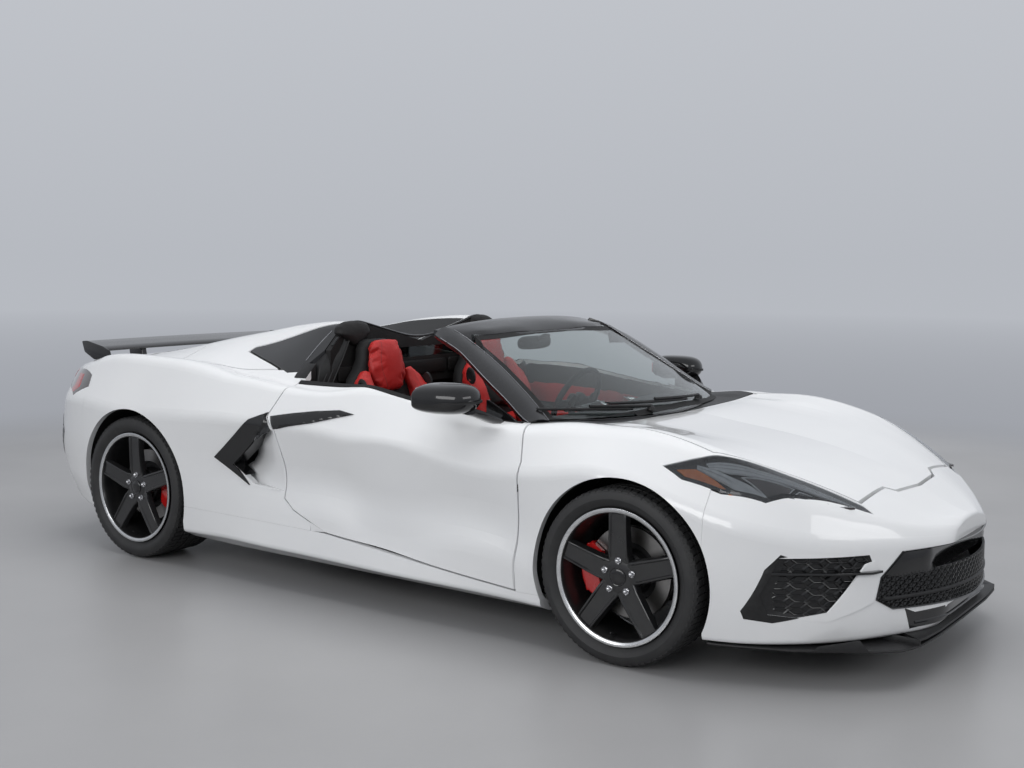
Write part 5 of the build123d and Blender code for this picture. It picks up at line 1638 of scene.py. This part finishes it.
# Each row of a shell: half its width, its front y, its back y and its height.
SHELL_ROWS = [(0.205, 0.03, 0.15, 0.3), (0.222, 0.062, 0.176, 0.4), (0.232, 0.096, 0.212, 0.5),
    (0.232, 0.14, 0.246, 0.62), (0.236, 0.19, 0.284, 0.76), (0.23, 0.222, 0.308, 0.86),
    (0.198, 0.24, 0.32, 0.915), (0.15, 0.254, 0.33, 0.955), (0.116, 0.262, 0.338, 1.0),
    (0.106, 0.268, 0.342, 1.05), (0.088, 0.274, 0.34, 1.08), (0.06, 0.284, 0.332, 1.09)]
shell = skinned("seat_shell", [level_ring(*row) for row in SHELL_ROWS], soft_black, sharp=60)
BASE_ROWS = [(0.205, -0.3, 0.13, 0.165), (0.222, -0.33, 0.15, 0.2), (0.236, -0.35, 0.15, 0.28),
    (0.236, -0.348, 0.12, 0.34), (0.222, -0.33, 0.1, 0.366)]
base = skinned("seat_base", [level_ring(*row, ease=0.22) for row in BASE_ROWS], soft_black, sharp=60)
GUIDE_PROFILE = [(-0.006, 0.0), (-0.006, 0.024), (0.004, 0.026), (0.009, 0.023), (0.01, 0.016),
    (0.006, 0.014), (0.005, 0.0)]
discs = []
for sign in (1, -1):
    disc = lathe("belt_guide", GUIDE_PROFILE, satin_black, 32, closed=False)
    moved(disc, Matrix.Diagonal((sign, 1, 1.7, 1)))
    moved(disc, Matrix.Translation((SEAT_X + sign * 0.226, 0.172, 0.885)) @ turned(-12, "X"))
    discs.append(disc)


def stitch_tree():
    """Short rounded bars along a curve, evenly spaced, turned to follow it."""
    tree, made = node_group("stitches", Path="Object", Spacing="Float", Length="Float", Thickness="Float",
        Material="Material")
    made.update(added(tree, dots="GeometryNodeCurveToPoints", bar="GeometryNodeMeshCylinder",
        size="ShaderNodeCombineXYZ"))
    made["dots"].mode = "LENGTH"
    set_sockets(made["bar"], Vertices=6, Radius=0.5, Depth=1.0)
    tree.links.new(maths(tree, "MULTIPLY", made["ins"].outputs["Thickness"], 1.3), made["size"].inputs["X"])
    wired(tree, made, "ins.Path > shape.Object, shape.Geometry > dots.Curve, ins.Spacing > dots.Length")
    wired(tree, made,
        "dots.Points > copies.Points, dots.Rotation > copies.Rotation, bar.Mesh > copies.Instance")
    wired(tree, made,
        "ins.Thickness > size.Y, ins.Length > size.Z, size.Vector > copies.Scale, " + REAL_AND_DRESSED)
    return tree


stitches = stitch_tree()
thread_black = finish("thread_black", (0.03, 0.03, 0.03), 0.6, second=(0.045, 0.045, 0.045), scale=200,
    relief=0.0001)


def stitched(name, points, spacing=0.006):
    """A seam of black stitches along points."""
    curve = bpy.data.curves.new(name, "CURVE")
    curve.dimensions = "3D"
    spline = curve.splines.new("POLY")
    spline.points.add(len(points) - 1)
    for point, place in zip(spline.points, points):
        point.co = (*place, 1)
    path = in_scene(name, curve)
    seam = grown(name + "_stitches", stitches, thread_black, Path=path, Spacing=spacing,
        Length=spacing * 0.66, Thickness=0.0011)
    bpy.data.objects.remove(path)
    return seam


def on_pad(some_pads, spots, place, lift=0.0004):
    """Points of the blown-up pads in front of flat points of the seat back."""
    shape = bmesh.new()
    for pad in some_pads:
        shape.from_mesh(pad.data)
    tree = BVHTree.FromBMesh(shape)
    shape.free()
    result = []
    for u, v in spots:
        start = place(u, v, 0.3)
        way = (place(u, v, 0.0) - start).normalized()
        hit = tree.ray_cast(start, way)
        if hit[0]:
            result.append(hit[0] - way * lift)
    return result


# Each seam: its pads, where it starts, its step, its count of points, its place and u at a height v.
SEAMS = {
    "head_seam": (pads[:1], 0.868, 0.0052, 40, back_at, lambda v: 0.05 + 0.022 * math.sin((v - 0.87) * 16)),
    "wing_seam": (pads[1:3], 0.52, 0.01, 40, back_at, lambda v: 0.15 + 0.012 * math.sin((v - 0.5) * 7)),
    "squab_seam": (pads[4:5], -0.3, 0.01, 32, cushion_at, lambda v: 0.095),
}
seams = []
for sign in (1, -1):
    for name, (under, start, step, count, place, u_at) in SEAMS.items():
        heights = [start + step * i for i in range(count)]
        seams.append(stitched(name, on_pad(under, [(sign * u_at(v), v) for v in heights], place)))
hard_parts = joined("seat_hard", [shell, base] + discs + seams)
for side, sign in SIDES.items():
    place = Matrix.Identity(4) if sign > 0 else MIRROR
    hard = copy_of(hard_parts, f"seat_{side}_shell", place)
    carry(hard, "body", [f"seat_{side}"])
    for pad in pads:
        piece = copy_of(pad, f"seat_{side}_{pad.name}", place)
        carry(piece, "body")
print("two seats, each with", len(pads), "pads")
for used in pads + [hard_parts]:
    bpy.data.objects.remove(used)

# %% [markdown]
# The steering wheel is a leather rim swept round a circle, two spokes and an airbag pad. It is built
# flat, facing the driver, and one matrix tilts it into place on its column. The lower rim is squared
# off a little, as on a sports car.

# %% Steering wheel
TILT = math.radians(25)
HUB_PLACE = Vector((0.385, -0.31, 0.775))
RIM_RADIUS, RIM_STEPS, RIM_SIDES = 0.17, 72, 14
away = Vector((0, -math.cos(TILT), -math.sin(TILT)))
up = Vector((0, -math.sin(TILT), math.cos(TILT)))
COLUMN = Matrix.Translation(HUB_PLACE) @ Matrix((Vector((1, 0, 0)), up, -away)).transposed().to_4x4()


def rim_point(angle):
    """A point of the rim's middle line: round, with a flatter bottom."""
    return RIM_RADIUS * math.cos(angle), max(-RIM_RADIUS * 0.93, RIM_RADIUS * math.sin(angle))


rim_points = []
for x, y in map(rim_point, around(RIM_STEPS)):
    for t in around(RIM_SIDES):
        swell = 1 + 0.0135 * math.cos(t) / RIM_RADIUS
        rim_points.append((x * swell, y * swell, 0.015 * math.sin(t)))
rim_faces = [(a, d, c, b) for a, b, c, d in quads(RIM_STEPS, RIM_SIDES, wrap=True)]
rim = new_piece("steering_rim", rim_points, rim_faces, black_leather, 180)
wheel_parts = [rim]
# Each slab beside the hub: its outline, from and to along the column, its finish and its rounding.
SPOKE_SLABS = [
    ([(0.04, 0.022), (0.1, 0.016), (0.16, 0.02), (0.16, -0.03), (0.12, -0.026), (0.07, -0.052),
        (0.04, -0.04)], -0.012, 0.004, satin_black, 0.004),
    ([(0.058, 0.014), (0.104, 0.01), (0.14, 0.012), (0.14, -0.008), (0.1, -0.012), (0.066, -0.01)], 0.003,
        0.009, gloss_black, 0.002),
    ([(0.06, 0.05), (0.105, 0.062), (0.12, 0.03), (0.112, -0.004), (0.06, -0.006)], -0.032, -0.027,
        satin_black, 0.0015),
]
KEY_PROFILE = [(0.0, 0.0), (0.0, 0.0055), (0.002, 0.0052), (0.0026, 0.004), (0.0027, 0.0)]
for sign in (1, -1):
    for outline, low, high, material, edge in SPOKE_SLABS:
        wheel_parts.append(
            slab("spoke", [(sign * x, y) for x, y in outline][::sign], "z", low, high, material, edge))
    for k in range(3):
        key = lathe("wheel_key", KEY_PROFILE, satin_black, 16, closed=False)
        wheel_parts.append(
            moved(key, Matrix.Translation((sign * (0.08 + 0.018 * k), 0.001, 0.0085)) @ turned(-90, "Y")))
pad_outline = rounded(symmetric([(0.052, 0.036), (0.06, 0.0), (0.038, -0.06)]), 0.014)
pad_rings = [[(x * share, y * share, z) for x, y in pad_outline] for share, z in (
    (0.9, -0.016), (1.0, -0.008), (1.0, 0.01), (0.94, 0.02), (0.8, 0.027), (0.55, 0.031), (0.25, 0.0325))]
wheel_parts.append(skinned("airbag_pad", pad_rings, black_leather, sharp=180))
lower_spoke = slab("lower_spoke", symmetric([(0.02, -0.055), (0.026, -0.158)]), "z", -0.01, 0.003,
    gloss_black, 0.004)
hub = lathe("hub", [(-0.044, 0.0), (-0.044, 0.04), (-0.016, 0.05), (-0.01, 0.0)], satin_black, 48,
    closed=False)
moved(hub, turned(-90, "Y"))
shaft = lathe("shaft", [(-0.1, 0.0), (-0.1, 0.0098), (-0.04, 0.0098), (-0.04, 0.0)], steel, 32,
    closed=False)
moved(shaft, turned(-90, "Y"))
wheel_parts += [lower_spoke, hub, shaft]
steering = joined("steering_wheel_dressed", wheel_parts)
moved(steering, COLUMN)
carry(steering, "steering_wheel", ["steering_wheel"])
print("steering wheel:", len(steering.data.polygons), "faces")

# %% [markdown]
# The dashboard is a loft: cross-sections in the car's length, from one door to the other. It rises
# into a cluster hood in front of the driver. A red leather crescent lies on its top, and a thin red
# line runs across its face. The console between the seats has an arm pad, a ridge of buttons along
# the passenger side and a display turned to the driver.

# %% Dashboard and console
def dash_section(x):
    """The dash's outline (y, z) at x, rounded, with the cluster hood ahead of the driver."""
    hood_rise = 0.028 * math.exp(-(((x - 0.385) / 0.17) ** 4))
    drop = 0.05 * min(1.0, max(0.0, (abs(x) - 0.5) / 0.19))
    return [(-0.975 + drop, 0.565), (-0.98 + drop * 1.5, 0.7), (-0.975 + drop * 1.6, 0.772),
        (-0.9 + drop * 0.4, 0.796 - drop * 0.2), (-0.83, 0.808 - drop * 0.2 + hood_rise * 0.5),
        (-0.76, 0.816 - drop * 0.25 + hood_rise), (-0.69, 0.806 - drop * 0.25 + hood_rise * 0.8),
        (-0.648, 0.792 - drop * 0.2 + hood_rise * 0.2), (-0.625, 0.77 - drop * 0.2), (-0.607, 0.738),
        (-0.64, 0.7), (-0.69, 0.642), (-0.75, 0.575)]


STATIONS = [-0.69, -0.68, -0.62, -0.56, -0.5, -0.4, -0.3, -0.2, -0.1, 0.0, 0.1, 0.18, 0.22, 0.26, 0.32,
    0.385, 0.45, 0.51, 0.55, 0.59, 0.62, 0.68, 0.69]
dash_rings = []
for x in STATIONS:
    shrink = 0.965 if abs(x) > 0.685 else 1.0
    section = dash_section(x)
    y0, z0 = (sum(values) / len(section) for values in zip(*section))
    dash_rings.append([(x, y0 + (y - y0) * shrink, z0 + (z - z0) * shrink) for y, z in section])
dash = skinned("dashboard_body", dash_rings, black_leather, sharp=50)
smoothed(dash, 2, 40)
dash_tree = BVHTree.FromPolygons([v.co.copy() for v in dash.data.vertices],
    [tuple(p.vertices) for p in dash.data.polygons])


def on_dash(x, y):
    """The dash's top surface above a point of the plan."""
    hit = dash_tree.ray_cast(Vector((x, y, 1.2)), Vector((0, 0, -1)))
    return hit[0] if hit[0] else Vector((x, y, 0.79))


def dash_patch(name, outline, material, lift):
    """A thin cover on the dash's top over an outline of the plan."""
    corners, triangles, rim = filled(outline, 0.02)
    points = [on_dash(c.x, c.y) + Vector((0, 0, lift)) for c in corners]
    points += [p - Vector((0, 0, lift + 0.003)) for p in points]
    return new_piece(name, points, plate_faces(triangles, len(corners), rim), material, 60)


crescent = dash_patch("dash_crescent", [(-0.64, -0.8), (-0.5, -0.835), (-0.3, -0.862), (-0.05, -0.88),
    (0.2, -0.885), (0.2, -0.915), (-0.05, -0.925), (-0.3, -0.915), (-0.52, -0.882), (-0.64, -0.83)],
    red_leather, 0.003)
grille_slots = [dash_patch("demister", oblong(x, x + 0.016, -0.955, -0.938), soft_black, 0.001)
    for x in [-0.44 + 0.022 * k for k in range(40)]]
accent = tube("dash_line", [(x, -0.628 - 0.004, 0.772 + 0.004) for x in (-0.66, -0.4, -0.1, 0.16)], 0.0035,
    red_leather)
vents = []
for x in (-0.6, -0.46, 0.62):
    vents.append(slab("vent_frame", rounded(oblong(x - 0.045, x + 0.045, 0.722, 0.752), 0.008), "y", -0.64,
        -0.606, satin_black, 0.002))
    vents += [slab("vent_vane", oblong(x - 0.04, x + 0.04, z, z + 0.003), "y", -0.63, -0.603, gloss_black,
        0.0006) for z in (0.728, 0.737, 0.746)]
cluster = slab("cluster", rounded(oblong(0.255, 0.515, 0.735, 0.8), 0.012), "y", -0.66, -0.624, screen_dark,
    0.002)
display = slab("display", rounded(oblong(-0.075, 0.14, 0.7, 0.815), 0.01), "y", -0.63, -0.604, screen_dark,
    0.002)
DISPLAY_PLACE = Vector((0.03, -0.61, 0.75))
moved(display, Matrix.Translation(DISPLAY_PLACE) @ turned(8, "Z") @ turned(-12, "X")
    @ Matrix.Translation(-DISPLAY_PLACE))
boot_rings = []
for t, r in ((0.104, 0.026), (0.11, 0.032), (0.2, 0.034), (0.3, 0.04), (0.4, 0.046)):
    middle = HUB_PLACE + away * t
    boot_rings.append([middle + Vector((1, 0, 0)) * r * math.cos(a) + up * r * math.sin(a)
        for a in around(28)])
boot = skinned("column_shroud", boot_rings[::-1], soft_black, sharp=60)
STALK = [(0.15, 0.03, 0), (0.135, 0.08, 0.006), (0.11, 0.125, 0.018)]
stalks = [tube("stalk", [HUB_PLACE + away * t + Vector((sign * x, 0, z))
    for t, x, z in STALK], 0.006, satin_black) for sign in (1, -1)]
dash_all = joined("dashboard_dressed",
    [dash, crescent, accent, cluster, display, boot] + grille_slots + vents + stalks)
carry(dash_all, "body", ["dashboard"])

# Each row: y, half the console's width and the height of its top.
console_rings = []
for y, half, top in ((-0.69, 0.085, 0.6), (-0.66, 0.097, 0.615), (-0.56, 0.1, 0.604), (-0.4, 0.1, 0.566),
        (-0.25, 0.1, 0.54), (-0.1, 0.099, 0.516), (0.1, 0.099, 0.53), (0.3, 0.099, 0.552),
        (0.385, 0.097, 0.56), (0.39, 0.09, 0.552)):
    section = both_ways(
        [(0, top + 0.002), (half * 0.8, top), (half * 0.96, top - 0.01), (half, top - 0.03), (half, 0.334)])
    console_rings.append([(x, y, z) for x, z in section])
console = skinned("console_body", console_rings, black_leather, sharp=50)
RIDGE_SECTION = [(-0.1, -0.02), (-0.096, 0.016), (-0.082, 0.022), (-0.066, 0.014), (-0.062, -0.02)]
ridge_rings = [[(x, y, z + up_by) for x, up_by in RIDGE_SECTION]
    for y, z in ((-0.64, 0.65), (-0.56, 0.64), (-0.44, 0.6), (-0.32, 0.566), (-0.22, 0.54))]
ridge = skinned("button_ridge", ridge_rings, satin_black, sharp=50)
buttons = []
for k in range(15):
    button = slab("button", rounded(oblong(-0.01, 0.01, -0.008, 0.008), 0.002), "z", 0.0, 0.004,
        gloss_black, 0.001)
    buttons.append(moved(
        button, Matrix.Translation((-0.081, -0.6 + 0.024 * k, 0.668 - 0.0075 * k)) @ turned(-17, "X")))
arm_rings = [[(h * eased(math.cos(a), 0.4), y, 0.545 + r * eased(math.sin(a), 0.6) + (y + 0.05) * 0.06)
    for a in around(20)] for y, h, r in ((-0.165, 0.04, 0.01), (-0.155, 0.06, 0.022), (-0.1, 0.07, 0.03),
    (0.1, 0.074, 0.032), (0.28, 0.07, 0.03), (0.325, 0.058, 0.02), (0.335, 0.03, 0.008))]
arm_pad = skinned("arm_pad", arm_rings, red_leather, sharp=180)
tray = slab("cup_tray", rounded(oblong(-0.05, 0.08, -0.34, -0.19), 0.02), "z", 0.545, 0.562, gloss_black,
    0.003)
console_all = joined("console_dressed", [console, ridge, arm_pad, tray] + buttons)
carry(console_all, "body", ["console"])
print("dash and console:", len(dash_all.data.polygons), len(console_all.data.polygons), "faces")

# %% [markdown]
# Doors: the inner card is a padded panel with a red insert, an armrest with a pull, and a speaker
# grille. A black seal runs along the door's top, and a small black corner panel fills the angle
# between the door and the windscreen pillar.

# %% Door cards and seals
INNER_FACE_X = 0.772  # the flat inner face of the left door


def card_at(y, z):
    """How far the card stands in from the door's flat inner face."""
    arm = math.exp(-(((z - 0.635) / 0.05) ** 4)) * min(1.0, max(0.0, (y + 0.62) / 0.12)) * min(1.0,
        max(0.0, (0.2 - y) / 0.06))
    swell = 0.014 * math.exp(-(((z - 0.78) / 0.08) ** 2))
    return INNER_FACE_X - 0.01 - swell - 0.05 * arm


CARD = [(-0.7, 0.44), (-0.3, 0.43), (0.1, 0.45), (0.23, 0.52), (0.3, 0.64), (0.33, 0.9), (0.1, 0.905),
    (-0.1, 0.898), (-0.3, 0.866), (-0.5, 0.842), (-0.705, 0.822)]


def card_piece(name, outline, material, proud, step=0.02, sharp=50):
    """A panel that follows the card's shape."""
    corners, triangles, edge = filled(outline, step)
    points = [(card_at(c.x, c.y) - proud, c.x, c.y) for c in corners]
    points += [(card_at(c.x, c.y) + 0.002 if proud else INNER_FACE_X + 0.0015, c.x, c.y) for c in corners]
    half = len(corners)
    faces = [tuple(reversed(t)) for t in triangles] + [tuple(half + i for i in t) for t in triangles]
    faces += [((i + 1) % edge, half + (i + 1) % edge, half + i, i) for i in range(edge)]
    return new_piece(name, points, faces, material, sharp)


card = card_piece("door_card", CARD, black_leather, 0.0, 0.014)
insert = card_piece("door_insert",
    rounded([(-0.66, 0.7), (0.27, 0.715), (0.285, 0.8), (0.05, 0.812), (-0.3, 0.79), (-0.66, 0.752)], 0.02),
    red_leather, 0.005, 0.014)
arm_top = card_piece("door_arm",
    rounded([(-0.48, 0.64), (0.12, 0.64), (0.12, 0.676), (-0.44, 0.676)], 0.012), red_leather, 0.005, 0.012)
speaker = lathe("door_speaker", [(-0.001, 0.0), (-0.001, 0.062), (0.004, 0.07), (0.008, 0.066),
    (0.006, 0.06), (0.006, 0.0)], satin_black, 48, closed=False)
moved(speaker, Matrix.Translation((0.763, -0.54, 0.525)) @ turned(180, "Z"))
pull = tube("door_pull", [(0.716, -0.3, 0.668), (0.712, -0.3, 0.715), (0.714, -0.24, 0.742),
    (0.716, -0.12, 0.742), (0.712, -0.06, 0.715), (0.716, -0.06, 0.668)], 0.009, steel)
handle = slab("door_release", rounded([(-0.47, 0.745), (-0.37, 0.752), (-0.37, 0.776), (-0.47, 0.768)],
    0.006), "x", 0.728, 0.742, steel, 0.003)
window_keys = [slab("window_key", rounded(oblong(y, y + 0.026, 0.655, 0.67), 0.003), "x", 0.7, 0.712,
    gloss_black, 0.002) for y in (-0.42, -0.385)]
door_inside = joined("door_trim", [card, insert, arm_top, speaker, pull, handle] + window_keys)
both_sides(door_inside, DOORS)
doors = surface_of("door_left", "door_right")
seal = laid("door_seal", [(0.7775, -0.82), (0.7775, 0.4), (0.7925, 0.4), (0.7925, -0.82)], "top", doors,
    soft_black, lift=0.004, thick=0.006, step=0.02)
both_sides(seal, DOORS)
corner = slab("corner_panel",
    rounded([(-0.64, 0.842), (-0.805, 0.824), (-0.76, 0.852), (-0.65, 0.908), (-0.64, 0.908)], 0.004), "x",
    0.779, 0.787, gloss_black, 0.002)
both_sides(corner, DOORS)
print("door trim:", len(door_inside.data.polygons), "faces a side")

# %% [markdown]
# Behind each seat a padded black cap closes the front of the hump in the tonneau, and a slanted trim
# on a small foot joins the sail panel to the bulkhead. The valley between the humps has a soft black
# inlay. All of it stands clear of the tonneau's swing, or rides on the tonneau. The inner mirror
# hangs from the windscreen's header.

# %% Caps, pillars, inlay and inner mirror
def cap_ring(half, centre, tall, y):
    """The cap's upright cross-section at y, from its half width, middle height and half height."""
    outline = rounded([(-1.0, 0.25), (-0.8, 0.82), (-0.2, 1.0), (0.45, 0.92), (0.92, 0.55), (1.0, 0.05),
        (0.55, -0.55), (0.1, -1.0), (-0.3, -0.85), (-0.8, -0.3)], 0.16)
    return [(0.485 + half * u, y, centre + tall * w) for u, w in outline]


CAP_ROWS = [(0.096, 1.12, 0.052, 0.3855), (0.104, 1.119, 0.0565, 0.378), (0.106, 1.118, 0.058, 0.362),
    (0.102, 1.116, 0.056, 0.344), (0.09, 1.114, 0.048, 0.33), (0.068, 1.112, 0.036, 0.322),
    (0.036, 1.11, 0.02, 0.318)]
cap = skinned("hump_cap", [cap_ring(*row) for row in CAP_ROWS], black_leather, sharp=180)
both_sides(cap, BODY)
# Each row: a height and the post's four corners in plan there.
POST_ROWS = [(0.898, (0.7, 0.436), (0.702, 0.372), (0.64, 0.34), (0.628, 0.349)),
    (0.972, (0.692, 0.424), (0.688, 0.368), (0.598, 0.338), (0.584, 0.349)),
    (1.044, (0.64, 0.442), (0.626, 0.372), (0.556, 0.336), (0.546, 0.349)),
    (1.084, (0.6, 0.436), (0.584, 0.372), (0.532, 0.336), (0.52, 0.349)),
    (1.118, (0.566, 0.42), (0.556, 0.372), (0.52, 0.338), (0.512, 0.349))]
post = skinned("pillar_trim", [[(x, y, z) for x, y in corners] for z, *corners in POST_ROWS], satin_black,
    sharp=30)
bevelled(post, 0.004)
RIB = [(0.64, 0.338, 0.9), (0.598, 0.336, 0.972), (0.556, 0.334, 1.044), (0.522, 0.335, 1.112)]
lines = [tube("pillar_rib", [(x + dx, y + dy, z) for x, y, z in RIB], 0.003, rubber)
    for dx, dy in ((0.0, 0.0), (0.02, 0.012), (0.04, 0.022))]
sail_line = tube("sail_line", [(0.553, 0.4235, 1.1295), (0.599, 0.4425, 1.0855), (0.645, 0.45, 1.042),
    (0.691, 0.455, 0.9985)], 0.0014, steel)
foot = slab("pillar_foot", [(0.7, 0.9), (0.766, 0.9), (0.766, 0.931), (0.752, 0.9455), (0.735, 0.96),
    (0.7, 0.99)], "y", 0.3815, 0.454, satin_black, 0.002)
pillar = joined("pillar", [post, foot, sail_line] + lines)
both_sides(pillar, BODY)
VALLEY = symmetric([(0.385, 0.3885), (0.38, 0.7), (0.375, 0.95), (0.3, 1.12)])
inlay = laid("valley_inlay", VALLEY, "top", surface_of("tonneau"), soft_black, lift=0.0015, thick=0.003,
    step=0.03)
carry(inlay, "tonneau")
HOOP = both_ways(
    [(0.0, 1.0665), (0.3, 1.138), (0.4, 1.163), (0.45, 1.1725), (0.5, 1.168), (0.56, 1.124), (0.62, 1.066)])
edge_rail = tube("hoop_edge", [(x, 0.3585, z) for x, z in HOOP], 0.006, gloss_black)
carry(edge_rail, "body")
bulkhead = joined("bulkhead_pads", [
    slab("bulkhead_pad", rounded(oblong(x0, x1, 0.9, 0.968), 0.015), "y", 0.338, 0.3505, black_leather,
        0.005)
    for x0, x1 in ((-0.6, -0.2), (-0.18, 0.18), (0.2, 0.6))
])
carry(bulkhead, "body")


def mirror_ring(y, share):
    """The inner mirror's upright cross-section at y, as a share of its full size."""
    return [(0.118 * share * eased(math.cos(a), 0.55), y, 1.08 + 0.03 * share * eased(math.sin(a), 0.7))
        for a in around(32)]


BODY_RINGS = ((-0.352, 0.55), (-0.348, 0.8), (-0.338, 0.96), (-0.322, 1.0), (-0.312, 1.0), (-0.31, 0.97))
housing = skinned("inner_mirror_body", [mirror_ring(*row) for row in BODY_RINGS], soft_black, sharp=60)
reflector = skinned("inner_mirror_face", [mirror_ring(y, 0.93) for y in (-0.3105, -0.3085)], mirror_glass,
    sharp=60)
stem = tube("inner_mirror_stem",
    [(0, -0.34, 1.088), (0, -0.362, 1.108), (0, -0.385, 1.116), (0, -0.405, 1.113)], 0.009, soft_black)
inner_mirror = joined("inner_mirror", [housing, reflector, stem])
carry(inner_mirror, "body")
print("caps, pillars and mirror placed")

# %% [markdown]
# The back of the car: a wing with a curved blade and end plates, lamps with two red light bars each,
# black outlets at the corners, a black lower panel with fins, four exhaust tips and a blank recess
# for a number plate. The wing rides on the lid, the rest on the body.

# %% Wing
WING_SECTION = [(1.93, 0.9675), (1.925, 0.9735), (1.932, 0.98), (1.99, 0.99), (2.06, 1.001), (2.12, 1.01),
    (2.131, 1.0105), (2.131, 1.007), (2.12, 1.001), (2.06, 0.99), (1.99, 0.976), (1.945, 0.967)]


def wing_ring(x):
    """The wing's cross-section at x: rounded nose, thin raised tail, a little higher in the middle."""
    rise = 0.004 * (1 - (x / 0.67) ** 2)
    return [(x, y, z + rise) for y, z in WING_SECTION]


blade = skinned("wing_blade", [wing_ring(x) for x in [0.667 * (k / 12 - 1) for k in range(25)]], carbon,
    sharp=40)
holders = []
for outline, radius, low, high, edge in (
    ([(1.888, 0.916), (2.03, 0.918), (2.11, 0.955), (2.131, 1.012), (2.09, 1.0155), (1.96, 0.992),
        (1.905, 0.972)], 0.01, 0.666, 0.678, 0.003),
    ([(1.938, 0.925), (2.045, 0.918), (2.058, 0.99), (1.95, 0.982)], 0.008, 0.404, 0.436, 0.006),
):
    holder = slab("holder", rounded(outline, radius), "x", low, high, gloss_black, edge)
    holders += [holder, copy_of(holder, "holder_right", MIRROR)]
wing = joined("rear_wing", [blade] + holders)
carry(wing, "trunk_lid", ["spoiler"])
print("wing:", len(wing.data.polygons), "faces")

# %% [markdown]
# Lamp bars, outlets, panels and the blank plate are laid on the rear skin, the same way as the trim
# at the front. The outlets and lamps come in pairs.

# %% Lamps and lower panels
fascia_back = surface_of("rear_fascia", "tail_lamps")
lamp_back = surface_of("tail_lamps")
OUTER_LIGHT = [(0.8, 0.76), (0.872, 0.748), (0.88, 0.8), (0.838, 0.862), (0.806, 0.862), (0.846, 0.802),
    (0.842, 0.776), (0.8, 0.782)]
INNER_LIGHT = [(0.69, 0.792), (0.762, 0.768), (0.768, 0.79), (0.716, 0.812), (0.724, 0.862), (0.704, 0.868),
    (0.686, 0.812)]
OUTLET = [(0.7, 0.42), (0.83, 0.43), (0.858, 0.56), (0.8, 0.64), (0.69, 0.6)]
OUTLET_FLOOR = [(0.704, 0.426), (0.826, 0.436), (0.85, 0.56), (0.796, 0.63), (0.696, 0.594)]
for name, outline in (("outer_light", OUTER_LIGHT), ("inner_light", INNER_LIGHT)):
    light = laid(name, outline, "rear", lamp_back, red_lens, lift=0.0025, thick=0.004, step=0.008)
    both_sides(light, BODY)
outlet = band("outlet_frame", rounded(OUTLET, 0.02), 0.014, "rear", fascia_back, gloss_black, lift=0.003,
    thick=0.006)
both_sides(outlet, BODY)
outlet_floor = laid("outlet_mesh", rounded(OUTLET_FLOOR, 0.02), "rear", fascia_back, soft_black,
    lift=0.0012, thick=0.003, step=0.012)
both_sides(outlet_floor, BODY)
slats = joined("outlet_slats", [
    laid("slat", [(0.712, z), (0.838, z + 0.004), (0.838, z + 0.011), (0.712, z + 0.007)], "rear",
        fascia_back, gloss_black, lift=0.004, thick=0.004, step=0.02)
    for z in (0.455, 0.485, 0.515, 0.545, 0.575)
])
both_sides(slats, BODY)
plate_face = laid("plate_recess", rounded(symmetric([(0.265, 0.575), (0.285, 0.74)]), 0.02), "rear",
    fascia_back, soft_black, lift=0.001, thick=0.003, step=0.03)
plate_frame = band("plate_frame", rounded(symmetric([(0.275, 0.565), (0.297, 0.752)]), 0.024), 0.012,
    "rear", fascia_back, paint, lift=0.003, thick=0.006)
blank = slab("blank_plate", rounded(oblong(-0.155, 0.155, 0.59, 0.725), 0.008), "y", 2.3155, 2.3185,
    satin_black, 0.001)
lower = laid("lower_panel",
    rounded(symmetric([(0.56, 0.335), (0.6, 0.4), (0.54, 0.45), (0.25, 0.432), (0.24, 0.428)]), 0.012),
    "rear", fascia_back, gloss_black, lift=0.002, thick=0.004, step=0.02)
# A thin dark strip across the rear fascia stands for a crease: its colour is painted shade.
crease_shade = laid("bumper_lines", oblong(-0.62, 0.62, 0.52, 0.5235), "rear", fascia_back, soft_black,
    lift=0.0006, thick=0.002, step=0.03)
reverse_lamp = laid("reverse_lamp", rounded(symmetric([(0.07, 0.462), (0.06, 0.488)]), 0.006), "rear",
    fascia_back, red_lens, lift=0.002, thick=0.004, step=0.02)
for piece, slot in ((plate_face, "satin_black"), (plate_frame, "body_paint"), (blank, "satin_black"),
        (lower, "gloss_black"), (crease_shade, "satin_black"), (reverse_lamp, "tail_lens")):
    carry(piece, "body")
print("rear trim: blank plate at z",
    round(sum(v.co.z for v in blank.data.vertices) / len(blank.data.vertices), 3))

# %% [markdown]
# The exhaust tips are turned: a bright rolled lip outside, and deep in the bore a black lining over
# its closed end, painted shade where the pipe would run on into the dark. A fine black line round a
# rounded outline marks the fuel flap on the car's left side.

# %% Exhaust tips and fuel flap
TIP_PROFILE = [(2.112, 0.0), (2.112, 0.036), (2.12, 0.0375), (2.285, 0.039), (2.2965, 0.0385),
    (2.2995, 0.0365), (2.2975, 0.0345), (2.27, 0.0335), (2.18, 0.033), (2.18, 0.0)]
# The black lining deep in each bore, over its closed end, is painted shade.
BORE_SHADE_PROFILE = [(2.181, 0.0), (2.181, 0.0325), (2.25, 0.033), (2.25, 0.0322), (2.185, 0.031), (2.185, 0.0)]
tips = []
for x in (-0.165, -0.085, 0.085, 0.165):
    for profile, material, steps in ((TIP_PROFILE, steel, 56), (BORE_SHADE_PROFILE, soft_black, 40)):
        tip = lathe("tip", profile, material, steps, closed=False)
        tips.append(moved(tip, Matrix.Translation((x, 0, 0.355)) @ turned(90, "Z")))
exhaust = joined("exhaust", tips)
carry(exhaust, "body", ["exhaust_tips"])
flap = band("fuel_flap", rounded([(1.0, 0.82), (1.15, 0.83), (1.16, 0.905), (1.01, 0.905)], 0.03), 0.003,
    "side", surface_of("quarter_panels"), soft_black, lift=0.0004, thick=0.001)
carry(flap, "body")
print("exhaust:", len(tips), "turned parts")
